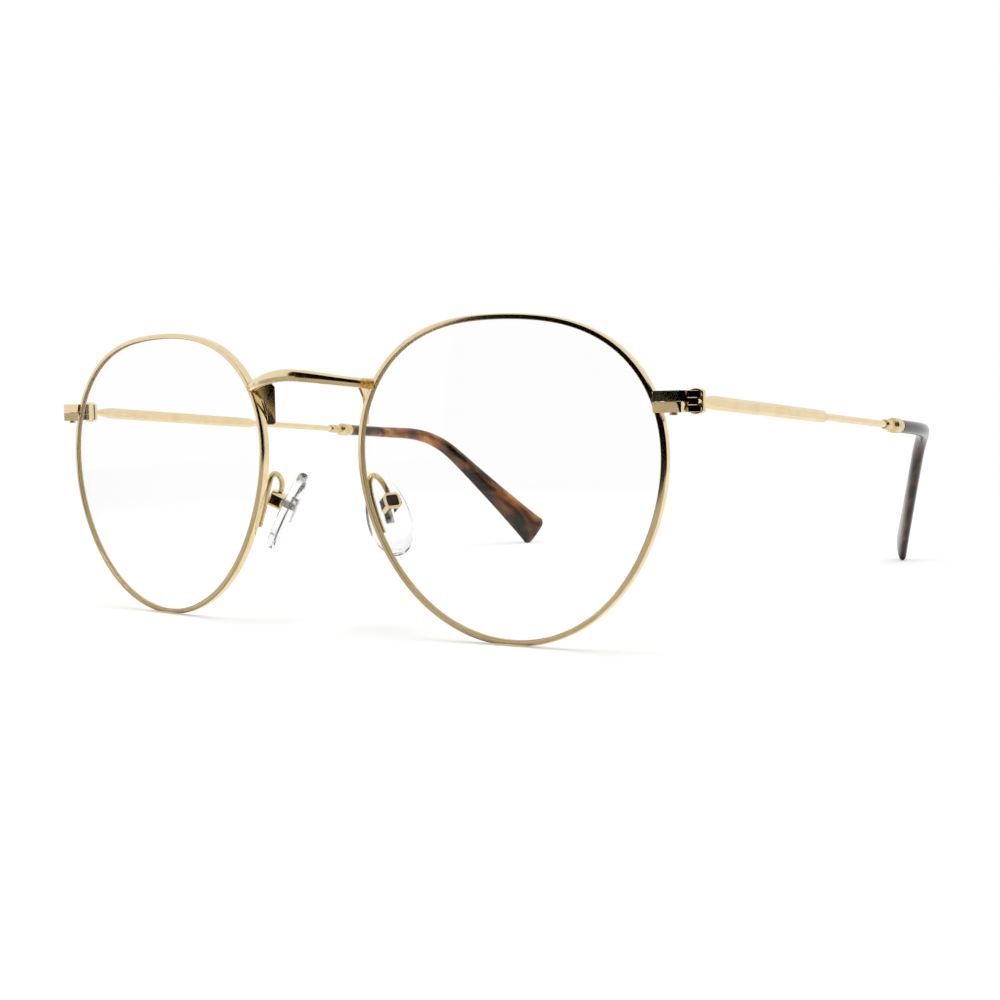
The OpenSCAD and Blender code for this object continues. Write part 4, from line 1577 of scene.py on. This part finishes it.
@dataclass
class NosePad:
    """One nose pad: a wire arm off the rim, a screw box, and a silicone pad moulded on a steel insert."""

    side: Side
    arm_radius: float = 0.44
    foot_drop: float = 9.0
    foot_length: float = 5.4
    limb: float = 1.7
    length: float = 13.4
    width: float = 7.1
    thickness: float = 2.1
    flare: float = 25.0
    splay: float = 29.0
    lean: float = 9.6
    x: float = 10.2
    y: float = 6.5
    drop: float = 6.6
    narrowing: float = 0.2
    box_height: float = 2.5
    box_depth: float = 2.2
    box_up: float = 0.95
    box_gap: float = 0.3
    loop_rise: float = 2.6
    box_edge: float = 0.06
    insert_edge: float = 0.04
    steps: int = 64

    def at(self, p: Vector) -> Vector:
        """Takes a point of the pad's own frame to the frame that stands on the table.

        Args:
            p: The point.

        Returns:
            The point there.
        """
        x, y = rotated(p[0], p[1], -self.splay)
        y, z = rotated(y, p[2], -self.lean)
        x, z = rotated(x, z, self.flare)
        return Vector((self.x + x, self.y + y, PLAN.lens_z - self.drop + z))

    def way(self, direction: Triple) -> Vector:
        """Takes a direction of the pad's own frame to the direction that it has on this side.

        Args:
            direction: The direction.

        Returns:
            The direction there.
        """
        made = self.at(Vector(direction)) - self.at(Vector())
        made[0] *= self.side.value
        return made

    def arm_path(self) -> Line:
        """The line of the arm: up the back of the rim, over in a loop, and down to the top of the box.

        Returns:
            The line.
        """
        low, top = PLAN.nose_angle(-self.foot_drop), PLAN.nose_angle(self.foot_length - self.foot_drop)
        foot = [PLAN.behind_rim(mixed(low, top, i / 10), self.arm_radius) for i in range(11)]
        limb = foot[-1] + self.limb * (foot[-1] - foot[-2]).normalized() + Vector((0, 0.2, 0))
        mid = self.thickness / 2 + self.box_gap + self.box_depth / 2
        over = self.box_up + self.box_height / 2 + PLAN.braze_gap
        ends = [self.at(Vector((mid, 0, over + rise))) for rise in (self.loop_rise, 0)]
        loop = [limb, limb + Vector((-0.3, 0.3, 3)), *ends]
        return foot + [bezier(loop, i / 40) for i in range(41)]

    def build(self, bench: WireBench, finishes: Finishes) -> None:
        """Makes the arm, takes over the box and insert, and moulds the pad.

        Args:
            bench: What draws the wires.
            finishes: Every finish of the frame.
        """
        tag, radius = self.side.prefix, self.arm_radius
        section = [(radius * cos(a), radius * sin(a)) for a in turns(24)]
        ticket = Ticket(tag + "pad_arm_wire", tag + "pad_arm", self.side, "front", "gold", finishes.satin, sharp=50.0)
        bench.wire(ticket, self.arm_path(), section, Vector((1, 0, 0)))
        # Painted shade: the box's pocket and front face take the dark finish.
        recess = Recess(self.way((1, 0, 0)), self.way((0, -1, 0)), finishes.tarnish)
        ticket = Ticket(tag + "pad_box_polished", tag + "pad_box", self.side, "front", "gold", finishes.gold)
        softened(ticket, self.box_edge, recess=recess)
        node, body = tag + "pad_insert", self.side.pad_body
        softened(Ticket(node + "_stamped", node, self.side, body, "insert", finishes.insert), self.insert_edge, 2)
        self.cushion(finishes)

    def cushion(self, finishes: Finishes) -> None:
        """Moulds the silicone pad: a drop, narrower at the top and domed towards the nose.

        Args:
            finishes: Every finish of the frame.
        """
        profile = [(0.0, -0.54), (0.42, -0.5), (0.78, -0.42), (0.97, -0.2), (1.0, 0.12)]
        profile += [(0.93, 0.42), (0.7, 0.5), (0.35, 0.51), (0.0, 0.51)]
        rings = []
        for share, depth in spline(profile, 4)[1:-1]:
            row = []
            for a in turns(self.steps):
                across = share * self.width / 2 * cos(a) * (1 - self.narrowing * sin(a))
                row.append(Vector((min(depth, 0.5) * self.thickness, across, share * self.length / 2 * sin(a))))
            rings.append([self.at(p) for p in row])
        work = MeshWork()
        work.skin(rings)
        tag, body, silicone = self.side.prefix, self.side.pad_body, finishes.silicone
        ticket = Ticket(tag + "silicone_pad", tag + "pad", self.side, body, "silicone", silicone, sharp=80.0)
        work.finish(ticket)


@dataclass
class Studio:
    """The set: a white paper sweep, dark cards for the metal to mirror, soft lamps and the camera.

    Its sizes are in metres, but for the camera's place and sensor and the back of the grey card.
    """

    camera_place: Triple = (145.4552, -162.4062, 33.4563)
    azimuth: float = 34.1783
    elevation: float = 3.6697
    roll: float = -0.9535
    focal_pixels: float = 1421.6
    picture: int = 1000
    sensor_mm: float = 36.0
    world_strength: float = 0.68
    paper_half: float = 3.0
    card_reach: float = 0.9
    card_top: float = 0.72
    table_card: Triple = (-0.5, 0.7, -0.88)
    table_card_up: float = 0.0003
    edge_card_near: float = 0.19
    table_card_back_mm: float = 3.0
    edge_card_up: float = 0.0006
    edge_card_ahead: float = 0.06
    lamp_aim: Triple = (0.0, 0.0, 0.02)

    def camera(self) -> None:
        """Sets the camera at the photograph's place, fitted to the frame's own points."""
        forward = aimed(self.azimuth, self.elevation)
        level = Vector((cos(radians(self.azimuth)), sin(radians(self.azimuth)), 0))
        right, up = rotated(level, level.cross(forward), -self.roll)
        data = bpy.data.cameras.new("studio_camera")
        data.sensor_width = self.sensor_mm
        data.lens = self.focal_pixels / self.picture * self.sensor_mm
        data.clip_start, data.clip_end = 0.01, 20.0
        turn = Matrix((right, up, -forward)).transposed().to_4x4()
        turn.translation = (Vector(self.camera_place) - Vector((0, PLAN.middle_y, 0))) * MM
        made = linked("studio_camera", data)
        made.matrix_world = turn
        bpy.context.scene.camera = made

    def world(self) -> None:
        """Sets a white world to camera, mirror and lens rays, and a pale grey one to the rest."""
        bpy.context.scene.world = bpy.data.worlds.new("studio_world")
        work = ShaderWork(bpy.context.scene.world)
        soft, white = (
            work.add("Background", inputs={"Color": (1, 1, 1, 1), "Strength": strength})
            for strength in (self.world_strength, 1.0)
        )
        work.close(work.add("MixShader", inputs={0: work.seen(), 1: soft, 2: white}), "OutputWorld")

    def sheet(self, name: str, corners: list[Triple], material: Finish) -> Piece:
        """Makes one flat sheet of the set from its corners.

        Args:
            name: Its name.
            corners: Its corners.
            material: Its finish.

        Returns:
            The sheet.
        """
        mesh = bpy.data.meshes.new(name)
        mesh.from_pydata(corners, [], [tuple(range(len(corners)))])
        mesh.materials.append(material)
        return linked(name, mesh)

    def sweep(self) -> None:
        """Lays the paper on the table."""
        s = self.paper_half
        corners = [(-s, -s, 0), (s, -s, 0), (s, s, 0), (-s, s, 0)]
        self.sheet("paper_sweep", corners, StudioPaper().make())

    def card(self, name: str, corners: list[Triple], material: Finish) -> None:
        """Stands a card that only polished metal shows, as a reflection.

        Args:
            name: Its name.
            corners: Its corners.
            material: Its finish.
        """
        made = self.sheet(name, corners, material)
        made.visible_camera = made.visible_shadow = made.visible_diffuse = False

    def arc(self, reach: float, height: float, ahead: float = 0.0) -> list[Triple]:
        """Points round the camera's side, every 10 degrees from a little left of the front."""
        angles = [radians(a) for a in range(-31, 120, 10)]
        return [(reach * sin(a), -ahead - reach * cos(a), height) for a in angles]

    def row(self, name: str, low: list[Triple], high: list[Triple], material: Finish) -> None:
        """Stands a row of cards between two arcs."""
        for i in range(len(low) - 1):
            self.card(f"{name}_{i}", [low[i], low[i + 1], high[i + 1], high[i]], material)

    def cards(self) -> None:
        """Stands the cards: black ones round the camera's side above the table, and a grey one on the table that paints
        the table's shade into what the metal mirrors.
        """
        black, grey = MattCard("black_card", "#0C0A09").make(), MattCard("floor_shade_grey_card", "#BAB6AE").make()
        reach, up = self.card_reach, self.edge_card_up
        self.row("camera_side_card", self.arc(reach, 0.0), self.arc(reach, self.card_top), black)
        # Painted shade: the grey card on the table, seen only in the metal, stands in for the table's shade in front of
        # and under the rims.
        left, right, front = self.table_card
        back, z = (self.table_card_back_mm - PLAN.middle_y) * MM, self.table_card_up
        self.card("table_card", [(left, front, z), (right, front, z), (right, back, z), (left, back, z)], grey)
        near = self.arc(self.edge_card_near, up, self.edge_card_ahead)
        self.row("table_edge_card", near[1:], self.arc(reach, up)[1:], black)

    def lamp(self, name: str, place: Triple, size: float, power: float) -> None:
        """Hangs a square soft lamp that faces the frame, and that polished metal doesn't show.

        Args:
            name: Its name.
            place: Its place.
            size: Its side.
            power: Its power in watts.
        """
        data = bpy.data.lights.new(name, "AREA")
        data.shape, data.size, data.energy = "SQUARE", size, power
        made = linked(name, data)
        made.location = place
        made.rotation_euler = (Vector(self.lamp_aim) - Vector(place)).to_track_quat("-Z", "Y").to_euler()
        made.visible_glossy = False

    def build(self) -> None:
        """Sets up everything round the frame."""
        self.camera()
        self.world()
        self.sweep()
        self.cards()
        self.lamp("overhead_softbox", (0.1, 0.0, 1.1), size=0.8, power=5.4)
        self.lamp("left_softbox", (-0.9, -0.35, 0.5), size=0.4, power=2.25)
        self.lamp("back_softbox", (0.3, 1.0, 0.7), size=0.5, power=2.7)
        bpy.context.scene.view_settings.view_transform = "Standard"


def main() -> None:
    """Builds the frame and its set, in order."""
    logging.basicConfig(level=logging.INFO, format="%(name)s %(message)s")
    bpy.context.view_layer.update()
    finishes = Finishes.make()
    bench = WireBench()
    Studio().build()
    Bridge().build(finishes)
    for side in Side:
        Rim(side).build(bench, finishes)
        Lens(side).build(finishes)
        EndPiece(side).build(finishes)
        temple = Temple(side)
        temple.build(finishes)
        Tip(temple).build(finishes)
        NosePad(side).build(bench, finishes)
    bpy.context.view_layer.update()


if __name__ == "__main__":
    main()
